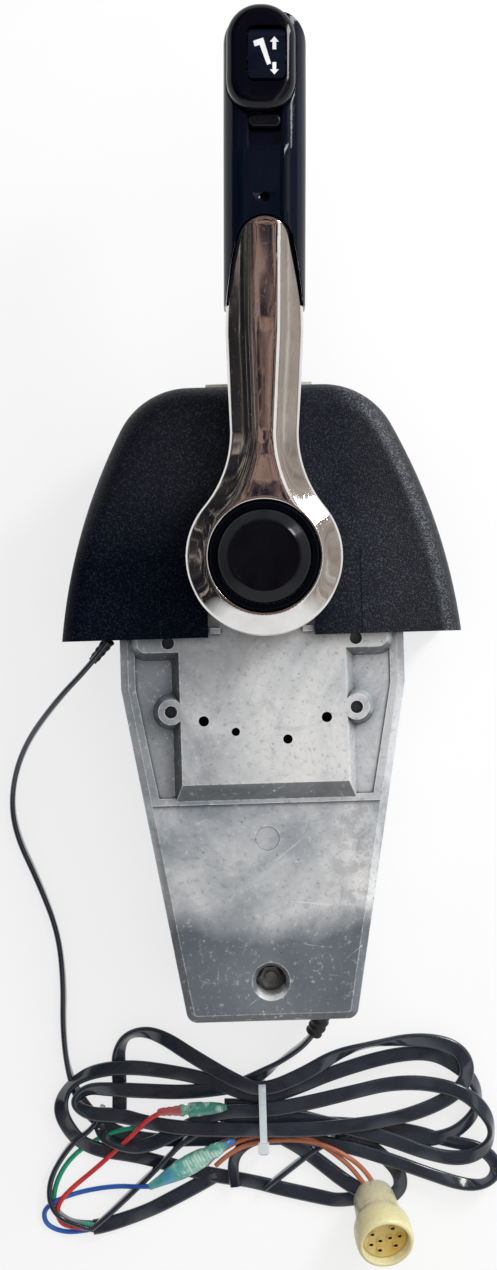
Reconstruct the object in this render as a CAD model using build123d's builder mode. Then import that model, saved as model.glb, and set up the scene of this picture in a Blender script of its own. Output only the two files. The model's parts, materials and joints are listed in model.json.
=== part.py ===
from build123d import *
import os
from math import atan2, cos, pi, radians, sin, sqrt, tan

os.makedirs("parts", exist_ok=True)

# A single-lever outboard remote control, lying on its back: X across the housing, Y up the
# housing from its foot to the lever's grip, Z out of the back face. The origin is the lever's
# pivot axis where it meets the back face. Millimetres and degrees.

# ---- clearances
running_gap = 0.05
press_gap = 0.02
seat_gap = 0.2
swing_gap = 0.4

# ---- levels above the back face
rear_cover_thick = 5.0
gasket_thick = 0.8
case_front = 85.0
ledge_front = 86.6
pad_front = 93.0
cover_front = 99.0
lever_back = 100.5

# ---- die-cast case, seen from the front
housing_x = -1.8
console_y = -31.0
case_half = 57.7
shoulder_y = -51.0
foot_half = 34.3
foot_y = -187.4
foot_radius = 4.5
case_wall = 4.0
case_roof = 5.0
case_edge = 3.2
tower_radius = 50.0
ledge_rim = 3.0
ledge_dip = 1.0
pad_half = 33.5
pad_flare = 3.6
pad_bottom_y = -90.0
ramp_bottom_y = -98.6
pad_arm_half = 50.1
pad_arm_corner = 3.5
pad_arm_y = -36.5
pad_recess = 5.0
ear_x = 37.3
ear_y = -60.5
ear_radius = 5.1
ear_flare = 2.6
ear_hole_radius = 2.5
ear_hole_depth = 10.0
arm_hole_x = 37.7
arm_hole_y = -32.8
pattern_holes = [(-26.0, -64.5, 2.1), (-13.3, -69.1, 1.7), (7.5, -72.6, 1.9), (23.4, -64.2, 2.1)]
pattern_hole_depth = 6.0
lug_x = 18.6
lug_width = 4.3
lug_top_y = -27.2
lug_height = 3.0
boss_radius = 17.0
gate_radius = 18.5
boss_height = 4.0
flange_half = 77.0
flange_thick = 4.0
flange_front = 92.0
console_hole_x = 70.0
console_hole_z = 49.0
console_hole_spacing_z = 58.0
console_hole_radius = 2.6
mark_y = -113.0
mark_radius = 5.0
mark_depth = 0.4

# ---- clamp stud at the foot
clamp_x = -2.0
clamp_y = -171.0
funnel_radius = 7.7
funnel_depth = 2.2
counterbore_radius = 6.2
counterbore_floor = 68.0
clamp_boss_wall = 3.0
stud_radius = 2.5
nut_flats = 8.0
nut_thick = 4.0

# ---- screws of the rear cover and of the housing cover
rear_screw_rows = [-43.0, -118.0, -175.5]
rear_screw_inset = 8.5
tower_screw_at = (31.0, 31.0)
rear_screw_radius = 2.0
rear_screw_length = 18.0
rear_post_radius = 5.5
rear_post_length = 22.0
screw_head_radius = 4.0
screw_head_thick = 2.4
cover_screws_at = [(64.0, -19.0), (36.5, 39.5)]
cover_screw_radius = 1.75
cover_screw_length = 12.0
cover_lug_radius = 5.0
cover_lug_length = 14.0
cover_head_thick = 1.4
cover_head_radius = 3.4

# ---- moulded housing cover
cover_half = 80.3
cover_side_x = 71.6
cover_side_y = 11.5
cover_shoulder_x = 54.4
cover_shoulder_y = 53.0
cover_crown_x = 26.9
cover_top_y = 69.6
cover_wall = 2.5
cover_lip = 9.0
cover_gap = 0.3
slot_half = 21.3
hub_window_radius = 28.0
cover_rib_x = 41.0
cover_rib_width = 1.4
cover_rib_height = 0.5
cover_rib_length = 34.0
clip_half = 21.5
clip_proud = 1.2
clip_depth = 5.0
clip_thick = 1.4

# ---- lever, measured along and across its own centre line
lever_lean = 1.7
hub_radius = 31.0
hub_bevel_radius = 22.4
hub_front = 121.0
button_hole_radius = 21.4
hole_bevel_width = 0.8
hole_bevel_depth = 3.0
waist_half = 13.6
flare_radius = 45.0
arm_half = 15.1
full_width_at = 86.0
arch_tip = 129.0
arch_radius = 140.0
arch_window_top = 127.6
chrome_wall = 2.0
back_cover_thick = 2.0
# station along the lever, back level, front level, half width, half width of the flat front
chrome_stations = [
    (0.0, 100.5, 121.0, 31.0, 22.4),
    (22.0, 100.5, 121.0, 24.0, 13.0),
    (41.0, 100.5, 121.5, 15.4, 6.4),
    (86.0, 104.5, 129.0, 15.4, 6.0),
    (131.0, 109.5, 133.0, 15.4, 6.0),
]
chrome_bevel = 5.5
# station along the lever, back level, front level
core_stations = [(8.0, 103.0, 107.0), (41.0, 103.0, 107.6), (86.0, 107.5, 113.5), (131.0, 112.5, 121.5),
                 (150.0, 117.0, 125.0), (200.0, 117.0, 125.0)]
core_half = 7.0
core_hub_radius = 15.0
core_hub_front = 109.5
grip_stations = [(92.0, 105.0, 131.0), (131.0, 109.5, 136.5), (152.0, 112.0, 139.5), (206.0, 114.0, 140.0)]
grip_half = 15.7
grip_flat_half = 6.2
grip_round = 7.0
grip_start = 96.0
grip_end = 205.0
grip_corner = 11.0
grip_wall = 2.2
grip_rib_thick = 2.0
parting_start = 116.0
parting_end = 127.0
grip_ribs_at = [140.0, 190.0]
dish_at = 135.7
dish_radius = 5.0
dish_depth = 0.5
grip_hole_radius = 1.8
grip_hole_depth = 4.0
grip_head_thick = 1.2
grip_screw_radius = 1.2
grip_post_radius = 2.3
shroud_post_x = 3.8
shroud_posts_at = [60.0, 100.0]
shroud_post_radius = 2.4
shroud_screw_radius = 1.2
shroud_head_radius = 2.4
lever_screw_reach = 6.0

# ---- switch pod, rocker and neutral-lock trigger
pod_x = -1.5
pod_half = 13.0
pod_low = 166.4
pod_high = 206.5
pod_back = 131.0
pod_front = 147.5
pod_top_corner = 12.6
pod_low_corner = 11.6
pod_edge = 4.4
pod_posts_at = [174.0, 200.0]
pod_post_radius = 2.6
rocker_x = 0.6
rocker_at = 187.0
rocker_half_width = 7.0
rocker_half_length = 10.0
rocker_corner = 3.0
rocker_stand = 0.5
rocker_axis_level = 142.0
rocker_floor = 137.6
rocker_tilt = 6.0
rocker_pin_radius = 1.2
switch_half_width = 6.5
switch_half_length = 9.0
trigger_half = 5.9
trigger_low = 161.3
trigger_high = 165.9
trigger_bottom = 128.0
trigger_front = 141.2
trigger_corner = 2.2
trigger_travel = 4.0
scoop_low = 154.6
scoop_floor = 135.6
scoop_wall = 1.6
scoop_corner = 2.4
rod_x = -4.0
rod_radius = 1.4
rod_low_level = 109.0
rod_high_level = 129.4
pawl_low = 19.5
pawl_high = 22.5
pawl_half = 2.0
pawl_bottom = 95.5

# ---- free-accelerator button in the hub
button_radius = 18.3
button_face_radius = 13.7
button_shoulder = 121.5
button_front = 125.0
button_bottom = 112.5
button_wall = 2.2
button_travel = 4.0
ring_wall = 2.6
boot_radius = 13.0
boot_fold = 2.6
boot_skin = 0.9

# ---- lever shaft and what turns on it
shaft_radius = 7.0
shaft_shoulder_radius = 9.0
shaft_flat_half = 4.5
shaft_nose_radius = 6.0
shaft_back = 3.0
bush_wall = 3.0
rear_bush_front = 16.0
bolt_radius = 2.5
bolt_head_radius = 4.6
bolt_head_thick = 4.0
washer_radius = 9.0
washer_thick = 1.2
circlip_thick = 1.2

# ---- gears: a pinion on the shaft drives a toothed sector that shifts
gear_module = 1.5
pinion_teeth = 15
sector_teeth_full = 36
sector_teeth = 13
pressure_angle = 20.0
tooth_addendum = 0.8
tooth_dedendum = 1.2
tooth_backlash = 0.12
pinion_back = 40.0
pinion_front = 50.0
detent_radius = 12.0
detent_front = 58.0
sector_hub_radius = 9.0
sector_pin_radius = 5.0
sector_thick = 8.0
sector_boss_length = 12.0
shift_arm = 40.0
arm_width = 12.0
arm_eye_radius = 2.5
throttle_arm_length = 31.0
throttle_arm_thick = 6.0
throttle_arm_back = 24.0

# ---- detent, friction and neutral switch
roller_radius = 3.0
roller_length = 7.0
leaf_thick = 0.8
leaf_half = 14.0
leaf_bracket = 6.0
roller_play = 0.3
friction_pad_half = 5.0
friction_pad_thick = 4.0
friction_screw_radius = 3.0
neutral_switch_size = (12.0, 20.0, 8.0)
neutral_switch_x = 36.0
neutral_switch_y = -62.0

# ---- leads and harness
lead_x = -66.0
lead_z = 50.0
foot_lead_x = 21.5
foot_lead_z = 20.0
lead_width = 6.4
lead_thick = 3.4
grommet_radius = 5.2
grommet_lip = 1.4

lead_radius = 2.5
lead_sides = 8
trim_route = [
    (lead_x, console_y, lead_z),
    (-74.0, -41.0, 45.5),
    (-88.8, -55.9, 36.0),
    (-106.0, -75.7, 18.0),
    (-115.0, -96.1, 7.0),
    (-114.5, -115.0, 3.2),
    (-106.2, -138.5, 2.7),
    (-99.5, -160.0, 2.6),
    (-95.6, -181.5, 2.7),
    (-94.6, -203.0, 2.6),
    (-94.9, -217.0, 2.7),
]
neutral_route = [
    (foot_lead_x, foot_y - 1.4, foot_lead_z),
    (20.5, -201.5, 16.5),
    (13.5, -212.0, 10.5),
    (2.0, -220.0, 7.0),
    (-7.0, -225.5, 7.2),
]
hank_height = 14.0
hank_outline = [
    (-12.0, -230.0),
    (-40.0, -213.0),
    (-58.0, -202.5),
    (-71.0, -206.0),
    (-78.0, -216.5),
    (-93.0, -220.0),
    (-99.5, -234.0),
    (-98.0, -248.0),
    (-86.0, -257.0),
    (-60.0, -262.5),
    (-36.0, -263.0),
    (-16.0, -258.6),
    (0.0, -258.6),
    (28.0, -262.0),
    (48.0, -268.5),
    (66.0, -276.0),
    (91.0, -281.5),
    (97.5, -268.0),
    (96.5, -246.0),
    (91.0, -226.0),
    (80.0, -211.0),
    (62.0, -207.5),
    (40.0, -208.5),
    (20.0, -217.0),
    (0.0, -230.0),
]
tail_height = 8.0
tail_outline = [
    (-86.5, -257.5),
    (-97.0, -257.0),
    (-106.0, -270.0),
    (-110.5, -284.0),
    (-107.0, -295.0),
    (-92.0, -298.0),
    (-76.0, -296.0),
    (-54.0, -288.0),
    (-34.0, -279.0),
    (-10.0, -281.5),
    (30.0, -289.0),
    (31.0, -282.0),
    (15.0, -277.0),
    (-13.0, -269.0),
    (-36.0, -264.0),
    (-60.0, -263.5),
]
tie_x = -8.6
tie_y = -244.3
tie_span = 29.2
tie_drop = 1.3
tie_width = 3.2
tie_thick = 1.1
plug_at = (40.5, -279.5, 8.6)
plug_axis = (0.2, -0.715, 0.669)
plug_across = (0.963, 0.269, 0.0)
plug_tail_radius = 8.6
plug_tail_length = 7.0
plug_body_radius = 10.6
plug_body_length = 12.0
plug_collar_radius = 12.4
plug_collar_length = 7.0
plug_mouth = 5.0
plug_insert_radius = 10.0
plug_insert_stand = 0.6
plug_hole_radius = 1.1
plug_hole_circle = 5.6
plug_hole_count = 6
bullet_crimp_radius = 2.3
bullet_radius = 3.1
bullet_crimp_share = 0.34
bullet_upper_ends = [(-52.0, -238.0, 17.12), (-23.0, -238.0, 17.12)]
bullet_lower_ends = [(-58.5, -271.5, 17.12), (-20.5, -251.0, 17.12)]

# ================================================================ working planes and outlines
lean = radians(lever_lean)
lever_across = (cos(lean), -sin(lean), 0)
lever_along = (sin(lean), cos(lean), 0)
lever_front_plane = Plane(origin=(0, 0, 0), x_dir=lever_across, z_dir=(0, 0, 1))
lever_side_plane = Plane(origin=(0, 0, 0), x_dir=lever_along, z_dir=lever_across)
pinion_pitch = gear_module * pinion_teeth / 2
sector_pitch = gear_module * sector_teeth_full / 2
sector_y = -(pinion_pitch + sector_pitch)
case_back = rear_cover_thick + gasket_thick
bush_radius = shaft_radius + running_gap + bush_wall
pad_top_y = console_y + flange_thick


def at_level(z):
    """The plan plane of the case at a height above the back face."""
    return Plane.XY.offset(z)


def lever_level(z):
    """The lever's plan plane at a height above the back face."""
    return lever_front_plane.offset(z)


def across_lever(station):
    """A section plane across the lever: X across, Y out of the back."""
    origin = (lever_along[0] * station, lever_along[1] * station, 0)
    return Plane(origin=origin, x_dir=lever_across, z_dir=(-lever_along[0], -lever_along[1], 0))


def level_at(stations, station, column):
    """A level read off a list of stations, straight between neighbours."""
    for low, high in zip(stations, stations[1:]):
        if low[0] <= station <= high[0]:
            share = (station - low[0]) / (high[0] - low[0])
            return low[column] + share * (high[column] - low[column])
    return stations[-1][column] if station > stations[-1][0] else stations[0][column]


def mirrored(points):
    """Each point of one side, then the same points on the other."""
    return [point for x, y in points for point in ((x, y), (-x, y))]


def case_plan(plane, inset=0.0):
    """The case from the console line down to its foot, less an inset."""
    with BuildSketch(plane) as plan:
        with BuildLine():
            Polyline(
                (case_half - inset, console_y + flange_thick - inset),
                (case_half - inset, shoulder_y),
                (foot_half - inset, foot_y + inset),
                (-foot_half + inset, foot_y + inset),
                (-case_half + inset, shoulder_y),
                (-case_half + inset, console_y + flange_thick - inset),
                close=True,
            )
        make_face()
        fillet(plan.vertices().group_by(Axis.Y)[0], foot_radius - inset / 2)
    return plan.sketch.moved(Location((housing_x, 0, 0)))


def case_half_at(y):
    """Half the case's width at a height up it."""
    return level_at([(foot_y, foot_half), (shoulder_y, case_half)], y, 1)


def ledge_plan(inset=0.0):
    """The two ledges beside the pad, from the console line down to the ramp's foot."""
    side = case_edge + inset
    with BuildSketch(Plane.XY) as plan:
        with BuildLine():
            Polyline(
                (case_half - side, pad_top_y),
                (case_half - side, shoulder_y),
                (case_half_at(ramp_bottom_y) - side, ramp_bottom_y + inset),
                (0, ramp_bottom_y + inset),
                (0, pad_top_y),
                close=True,
            )
        make_face()
        mirror(about=Plane.YZ)
    return plan.sketch.moved(Location((housing_x, 0, 0)))


def arm_plan(grow=0.0):
    """The pad's two arms along the console line, round at their lower corners."""
    low = pad_arm_y - grow
    with BuildSketch(Plane.XY) as plan:
        with Locations((housing_x, (low + pad_top_y) / 2)):
            Rectangle(2 * (pad_arm_half + grow), pad_top_y - low)
        fillet(plan.vertices().group_by(Axis.Y)[0], pad_arm_corner + grow)
    return plan.sketch


def tower_plan(plane, inset=0.0):
    """The round tower round the shaft, on its neck down into the case."""
    with BuildSketch(plane) as plan:
        Circle(tower_radius - inset)
        with Locations((0, shoulder_y / 2)):
            Rectangle(2 * (tower_radius - inset), -shoulder_y)
    return plan.sketch


def cover_plan(plane, inset=0.0, bottom=console_y):
    """The moulded cover's outline: bowed sides, round shoulders and a flat crown."""
    with BuildSketch(plane) as plan:
        with BuildLine():
            side = ThreePointArc(
                (cover_half - inset, console_y),
                (cover_side_x - inset, cover_side_y),
                (cover_shoulder_x - inset, cover_shoulder_y),
            )
            corner = TangentArc(side @ 1, (cover_crown_x, cover_top_y - inset), tangent=side % 1)
            Line(corner @ 1, (0, cover_top_y - inset))
            Line((0, cover_top_y - inset), (0, bottom))
            Line((0, bottom), (cover_half - inset, bottom))
            if bottom != console_y:
                Line((cover_half - inset, bottom), side @ 0)
        make_face()
        mirror(about=Plane.YZ)
    return plan.sketch.moved(Location((housing_x, 0, 0)))


def lever_plan(plane, inset=0.0):
    """The hub circle flaring into the arm, which ends in a round arch."""
    reach = hub_radius + flare_radius
    centre = (waist_half + flare_radius, sqrt(reach**2 - (waist_half + flare_radius) ** 2))
    touch = (centre[0] * hub_radius / reach, centre[1] * hub_radius / reach)
    half_way = (atan2(touch[1] - centre[1], touch[0] - centre[0]) - pi) / 2
    middle = (centre[0] + flare_radius * cos(half_way), centre[1] + flare_radius * sin(half_way))
    side_x = arm_half - arch_radius
    tip_y = (side_x**2 + full_width_at**2 - (arch_radius - arch_tip) ** 2) / (
        2 * (full_width_at + arch_radius - arch_tip)
    )
    tip_radius = arch_tip - tip_y
    lean_in = atan2(tip_y - full_width_at, -side_x)
    arch_end = (tip_radius * cos(lean_in), tip_y + tip_radius * sin(lean_in))
    arch_middle = (side_x + arch_radius * cos(lean_in / 2), full_width_at + arch_radius * sin(lean_in / 2))
    tip_half_way = (lean_in + pi / 2) / 2
    tip_middle = (tip_radius * cos(tip_half_way), tip_y + tip_radius * sin(tip_half_way))
    with BuildSketch(plane) as plan:
        with BuildLine():
            ThreePointArc((0, -hub_radius), (hub_radius, 0), touch)
            ThreePointArc(touch, middle, (waist_half, centre[1]))
            Line((waist_half, centre[1]), (arm_half, full_width_at))
            ThreePointArc((arm_half, full_width_at), arch_middle, arch_end)
            ThreePointArc(arch_end, tip_middle, (0, arch_tip))
            Line((0, arch_tip), (0, -hub_radius))
        make_face()
        mirror(about=Plane.YZ)
        if inset:
            offset(amount=-inset)
    return plan.sketch


def grip_plan(plane, inset=0.0):
    """The grip's outline, round at its top corners."""
    with BuildSketch(plane) as plan:
        with Locations((0, (grip_start + grip_end) / 2)):
            Rectangle(2 * (grip_half - inset), grip_end - grip_start - 2 * inset)
        fillet(plan.vertices().group_by(Axis.Y)[-1], grip_corner - inset)
    return plan.sketch


def pod_plan(plane, grow=0.0):
    """The switch pod's outline, rounder at its top than at its bottom."""
    with BuildSketch(plane) as plan:
        with Locations((pod_x, (pod_low + pod_high) / 2)):
            Rectangle(2 * (pod_half + grow), pod_high - pod_low + 2 * grow)
        fillet(plan.vertices().group_by(Axis.Y)[-1], pod_top_corner + grow)
        fillet(plan.vertices().group_by(Axis.Y)[0], pod_low_corner + grow)
    return plan.sketch


def lever_slab(low, high, half, stations):
    """A bar along the lever between two level columns, as lofted rectangles."""
    with BuildPart() as slab:
        for station in stations:
            with BuildSketch(across_lever(station[0])):
                with BuildLine():
                    Polyline(
                        (-half, station[1] + low),
                        (half, station[1] + low),
                        (half, station[1] + high),
                        (-half, station[1] + high),
                        close=True,
                    )
                make_face()
        loft(ruled=True)
    return slab.part


def parting_level(station):
    """The level of the joint between the grip's two shells."""
    share = (station - grip_start) / (grip_end - grip_start)
    return parting_start + share * (parting_end - parting_start)


def hub_bevel(inset):
    """The cone between the hub's side and its front."""
    with BuildPart() as cone:
        with BuildSketch(lever_level(hub_front - chrome_bevel - inset)):
            Circle(hub_radius - inset)
        with BuildSketch(lever_level(hub_front - inset)):
            Circle(hub_bevel_radius - inset / 2)
        loft()
    return cone.part


def pawl_way():
    """The slot round the lock pawl, as a sketch in the lever's own directions."""
    with BuildSketch(Plane.XY) as way:
        with Locations((rod_x - core_half / 2, (pawl_low + pawl_high + trigger_travel) / 2)):
            Rectangle(core_half + 2 * pawl_half, pawl_high - pawl_low + trigger_travel + 2 * swing_gap)
    return way.sketch


def chrome_form(inset=0.0, drop=0.0):
    """The chrome lever's outer form, or the same form inside its skin."""
    with BuildPart() as form:
        for station, back, front, half, flat_half in chrome_stations:
            side = half - inset
            flat = flat_half - inset / 2
            with BuildSketch(across_lever(station)):
                with BuildLine():
                    Polyline(
                        (-side, back - drop),
                        (side, back - drop),
                        (side, front - chrome_bevel - inset),
                        (flat, front - inset),
                        (-flat, front - inset),
                        (-side, front - chrome_bevel - inset),
                        close=True,
                    )
                make_face()
        loft(ruled=True)
        with BuildSketch(lever_level(lever_back - drop)):
            Circle(hub_radius - inset)
        extrude(amount=hub_front - chrome_bevel - lever_back + drop - inset)
        add(hub_bevel(inset))
        with BuildSketch(lever_level(lever_back - drop - 1.0)):
            add(lever_plan(Plane.XY, inset))
        extrude(amount=hub_radius + drop + 10.0, mode=Mode.INTERSECT)
    return form.part


def grip_shell_form(inset, skin_column, turn):
    """One half of the grip, from the parting level out to its round-cornered skin."""
    half = grip_half - inset
    with BuildPart() as form:
        for station in grip_stations:
            parting = parting_level(station[0])
            skin = station[skin_column] + (inset if turn > 0 else -inset)
            bulge = 0.29 * (half - grip_flat_half)
            with BuildSketch(across_lever(station[0])):
                with BuildLine():
                    ThreePointArc(
                        (half, skin + turn), (half - bulge, skin + 0.29 * turn), (grip_flat_half, skin)
                    )
                    Line((grip_flat_half, skin), (-grip_flat_half, skin))
                    ThreePointArc(
                        (-grip_flat_half, skin), (-half + bulge, skin + 0.29 * turn), (-half, skin + turn)
                    )
                    Polyline((-half, skin + turn), (-half, parting), (half, parting), (half, skin + turn))
                make_face()
        loft(ruled=True)
        with BuildSketch(lever_level(lever_back)):
            add(grip_plan(Plane.XY, inset))
        extrude(amount=60, mode=Mode.INTERSECT)
    return form.part


def plain_screw(origin, direction, radius, length, head_radius, head_thick):
    """A round-head screw: the head's outer face at the origin, the shank along the direction."""
    plane = Plane(origin=origin, z_dir=direction)
    with BuildPart() as screw:
        with BuildSketch(plane):
            Circle(head_radius)
        extrude(amount=head_thick)
        with BuildSketch(plane.offset(head_thick)):
            Circle(radius)
        extrude(amount=length)
    return screw.part


def tooth_half_angle(radius, pitch_radius, teeth):
    """Half the angle that an involute tooth takes up at a radius."""
    flank = radians(pressure_angle)
    base_radius = pitch_radius * cos(flank)
    local = atan2(sqrt(max(radius**2 - base_radius**2, 0)), base_radius)
    at_pitch = pi / (2 * teeth) - tooth_backlash / (2 * pitch_radius)
    return at_pitch + (tan(flank) - flank) - (tan(local) - local)


def tooth_outline(teeth):
    """One gear tooth about the X axis, rooted just inside the root circle."""
    pitch_radius = gear_module * teeth / 2
    radii = [
        pitch_radius - tooth_dedendum * gear_module - 0.5,
        pitch_radius - tooth_dedendum * gear_module / 2,
        pitch_radius,
        pitch_radius + tooth_addendum * gear_module / 2,
        pitch_radius + tooth_addendum * gear_module,
    ]
    angles = [tooth_half_angle(radius, pitch_radius, teeth) for radius in radii]
    upper = [(radius * cos(angle), radius * sin(angle)) for radius, angle in zip(radii, angles)]
    return upper + [(x, -y) for x, y in reversed(upper)]


# ================================================================ housing
roller_x = -detent_radius - roller_radius - roller_play
rear_screws_at = mirrored([tower_screw_at])
for row in rear_screw_rows:
    for side in (-1, 1):
        rear_screws_at.append((housing_x + side * (case_half_at(row) - rear_screw_inset), row))
leaf_x = roller_x - roller_radius - leaf_thick

# ---- die-cast case: a cup closed at its back, with the raised mounting pad on its front
with BuildPart() as main_housing:
    with BuildSketch(at_level(case_back)):
        add(case_plan(Plane.XY))
    extrude(amount=case_front - case_back)
    chamfer(main_housing.faces().sort_by(Axis.Z)[-1].edges(), case_edge)
    # the two ledges beside the pad, each with a low rim round a shallow dip
    with BuildSketch(at_level(case_front - case_edge)):
        add(ledge_plan())
    extrude(amount=ledge_front - case_front + case_edge)
    with BuildSketch(at_level(ledge_front)):
        add(ledge_plan(ledge_rim))
    extrude(amount=-ledge_dip, mode=Mode.SUBTRACT)
    # round tower and neck
    with BuildSketch(at_level(case_back)):
        add(tower_plan(Plane.XY))
        with Locations((0, console_y - tower_radius)):
            Rectangle(3 * tower_radius, 2 * tower_radius, mode=Mode.SUBTRACT)
    extrude(amount=pad_front - case_back)
    # raised pad: drafted sides and a ramp at its foot, then its arms and its ears
    with BuildSketch(at_level(case_front)):
        with Locations((housing_x, (ramp_bottom_y + pad_top_y) / 2)):
            Rectangle(2 * (pad_half + pad_flare), pad_top_y - ramp_bottom_y)
    with BuildSketch(at_level(pad_front)):
        with Locations((housing_x, (pad_bottom_y + pad_top_y) / 2)):
            Rectangle(2 * pad_half, pad_top_y - pad_bottom_y)
    loft()
    with BuildSketch(at_level(case_front)):
        add(arm_plan(pad_flare))
    with BuildSketch(at_level(pad_front)):
        add(arm_plan())
    loft()
    for side in (-1, 1):
        with BuildSketch(at_level(case_front)):
            with Locations((housing_x + side * ear_x, ear_y)):
                Circle(ear_radius + ear_flare)
        with BuildSketch(at_level(pad_front)):
            with Locations((housing_x + side * ear_x, ear_y)):
                Circle(ear_radius)
        loft()
    # lugs beside the hub, boss round the shaft and the ring that the lock pawl rides on
    with BuildSketch(at_level(pad_front)):
        with Locations((housing_x - lug_x, console_y + 2.6), (housing_x + lug_x, console_y + 2.6)):
            Rectangle(lug_width, 2.4)
    extrude(amount=lug_height)
    with BuildSketch(at_level(pad_front)):
        Circle(gate_radius)
    extrude(amount=boss_height)
    # flange that rests on the console
    with BuildSketch(at_level(case_back)):
        with Locations((housing_x, console_y + flange_thick / 2)):
            Rectangle(2 * flange_half, flange_thick)
    extrude(amount=flange_front - case_back)
    # hollow inside, deeper under the pad
    with BuildSketch(at_level(case_back)):
        add(case_plan(Plane.XY, case_wall))
        add(tower_plan(Plane.XY, case_wall))
    extrude(amount=case_front - case_roof - case_back, mode=Mode.SUBTRACT)
    with BuildSketch(at_level(case_front - case_roof)):
        with Locations((housing_x, (pad_bottom_y + pad_arm_y) / 2)):
            Rectangle(2 * (pad_half - pad_recess), pad_arm_y - pad_bottom_y - 2 * case_wall)
    extrude(amount=pad_front - case_front, mode=Mode.SUBTRACT)
    # posts for the rear cover's screws, down from the roof
    with BuildSketch(at_level(case_back)):
        with Locations(*rear_screws_at):
            Circle(rear_post_radius)
    extrude(amount=rear_post_length)
    # bosses of the clamp stud, the sector's pin and the shaft's front bush
    with BuildSketch(at_level(counterbore_floor - clamp_boss_wall)):
        with Locations((clamp_x, clamp_y)):
            Circle(counterbore_radius + clamp_boss_wall)
    extrude(amount=case_front - case_roof - counterbore_floor + clamp_boss_wall + 1.0)
    with BuildSketch(at_level(case_front - case_roof - sector_boss_length)):
        with Locations((0, sector_y)):
            Circle(sector_pin_radius + clamp_boss_wall)
    extrude(amount=sector_boss_length + pad_front - case_front)
    # bracket of the detent leaf and boss of the friction screw
    with BuildSketch(at_level(detent_front - roller_length)):
        with Locations((leaf_x - leaf_bracket / 2, leaf_half + 3.0)):
            Rectangle(leaf_bracket, 8.0)
    extrude(amount=case_front - detent_front + roller_length - 1.0)
    with BuildSketch(Plane.YZ.offset(tower_radius - case_wall - 8.0)):
        with Locations((0, detent_front - roller_length / 2)):
            Circle(friction_screw_radius + clamp_boss_wall)
    extrude(amount=10.0)
    # lugs for the cover's screws
    with BuildSketch(at_level(case_back)):
        for x, y in cover_screws_at:
            with Locations((x, y), (-x, y)):
                Circle(cover_lug_radius)
        with Locations(*[(side * cover_screws_at[0][0], cover_screws_at[0][1] - 4.0) for side in (-1, 1)]):
            Rectangle(2 * cover_lug_radius, 8.0)
    extrude(amount=cover_lug_length)
    # bores and holes
    with BuildSketch(at_level(case_front - case_roof - 1.0)):
        Circle(bush_radius + press_gap)
    extrude(amount=boss_height + pad_front, mode=Mode.SUBTRACT)
    with BuildSketch(at_level(pad_front)):
        for side in (-1, 1):
            with Locations((housing_x + side * ear_x, ear_y), (housing_x + side * arm_hole_x, arm_hole_y)):
                Circle(ear_hole_radius)
    extrude(amount=-ear_hole_depth, mode=Mode.SUBTRACT)
    with BuildSketch(at_level(pad_front)):
        for x, y, radius in pattern_holes:
            with Locations((x, y)):
                Circle(radius)
    extrude(amount=-pattern_hole_depth, mode=Mode.SUBTRACT)
    with BuildSketch(at_level(case_back)):
        with Locations(*rear_screws_at):
            Circle(rear_screw_radius + press_gap)
    extrude(amount=rear_screw_length, mode=Mode.SUBTRACT)
    with BuildSketch(at_level(case_back)):
        with Locations(*mirrored(cover_screws_at)):
            Circle(cover_screw_radius + press_gap)
    extrude(amount=cover_screw_length, mode=Mode.SUBTRACT)
    with BuildSketch(at_level(case_back)):
        with Locations((0, sector_y)):
            Circle(sector_pin_radius + press_gap)
    extrude(amount=case_front - case_back, mode=Mode.SUBTRACT)
    with BuildSketch(at_level(counterbore_floor)):
        with Locations((clamp_x, clamp_y)):
            Circle(counterbore_radius)
    extrude(amount=case_front, mode=Mode.SUBTRACT)
    with BuildSketch(at_level(case_front - funnel_depth)):
        with Locations((clamp_x, clamp_y)):
            Circle(counterbore_radius)
    with BuildSketch(at_level(case_front)):
        with Locations((clamp_x, clamp_y)):
            Circle(funnel_radius)
    loft(mode=Mode.SUBTRACT)
    with BuildSketch(at_level(case_back)):
        with Locations((clamp_x, clamp_y)):
            Circle(stud_radius + seat_gap)
    extrude(amount=case_front, mode=Mode.SUBTRACT)
    with BuildSketch(at_level(case_front)):
        with Locations((housing_x, mark_y)):
            Circle(mark_radius)
    extrude(amount=-mark_depth, mode=Mode.SUBTRACT)
    # console screws and the lead's way through the flange
    with BuildSketch(Plane.XZ.offset(-console_y - flange_thick)):
        for x in (-console_hole_x, console_hole_x):
            for z in (-console_hole_spacing_z / 2, console_hole_spacing_z / 2):
                with Locations((housing_x + x, console_hole_z + z)):
                    Circle(console_hole_radius)
        with Locations((lead_x, lead_z)):
            Circle(grommet_radius)
    extrude(amount=flange_thick, mode=Mode.SUBTRACT)
    with BuildSketch(Plane.XZ.offset(-foot_y - case_wall)):
        with Locations((foot_lead_x, foot_lead_z)):
            Circle(grommet_radius)
    extrude(amount=case_wall, mode=Mode.SUBTRACT)
    # threads of the friction screw
    with BuildSketch(Plane.YZ.offset(tower_radius - case_wall - 9.0)):
        with Locations((0, detent_front - roller_length / 2)):
            Circle(friction_screw_radius + running_gap)
    extrude(amount=case_wall + 12.0, mode=Mode.SUBTRACT)

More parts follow.
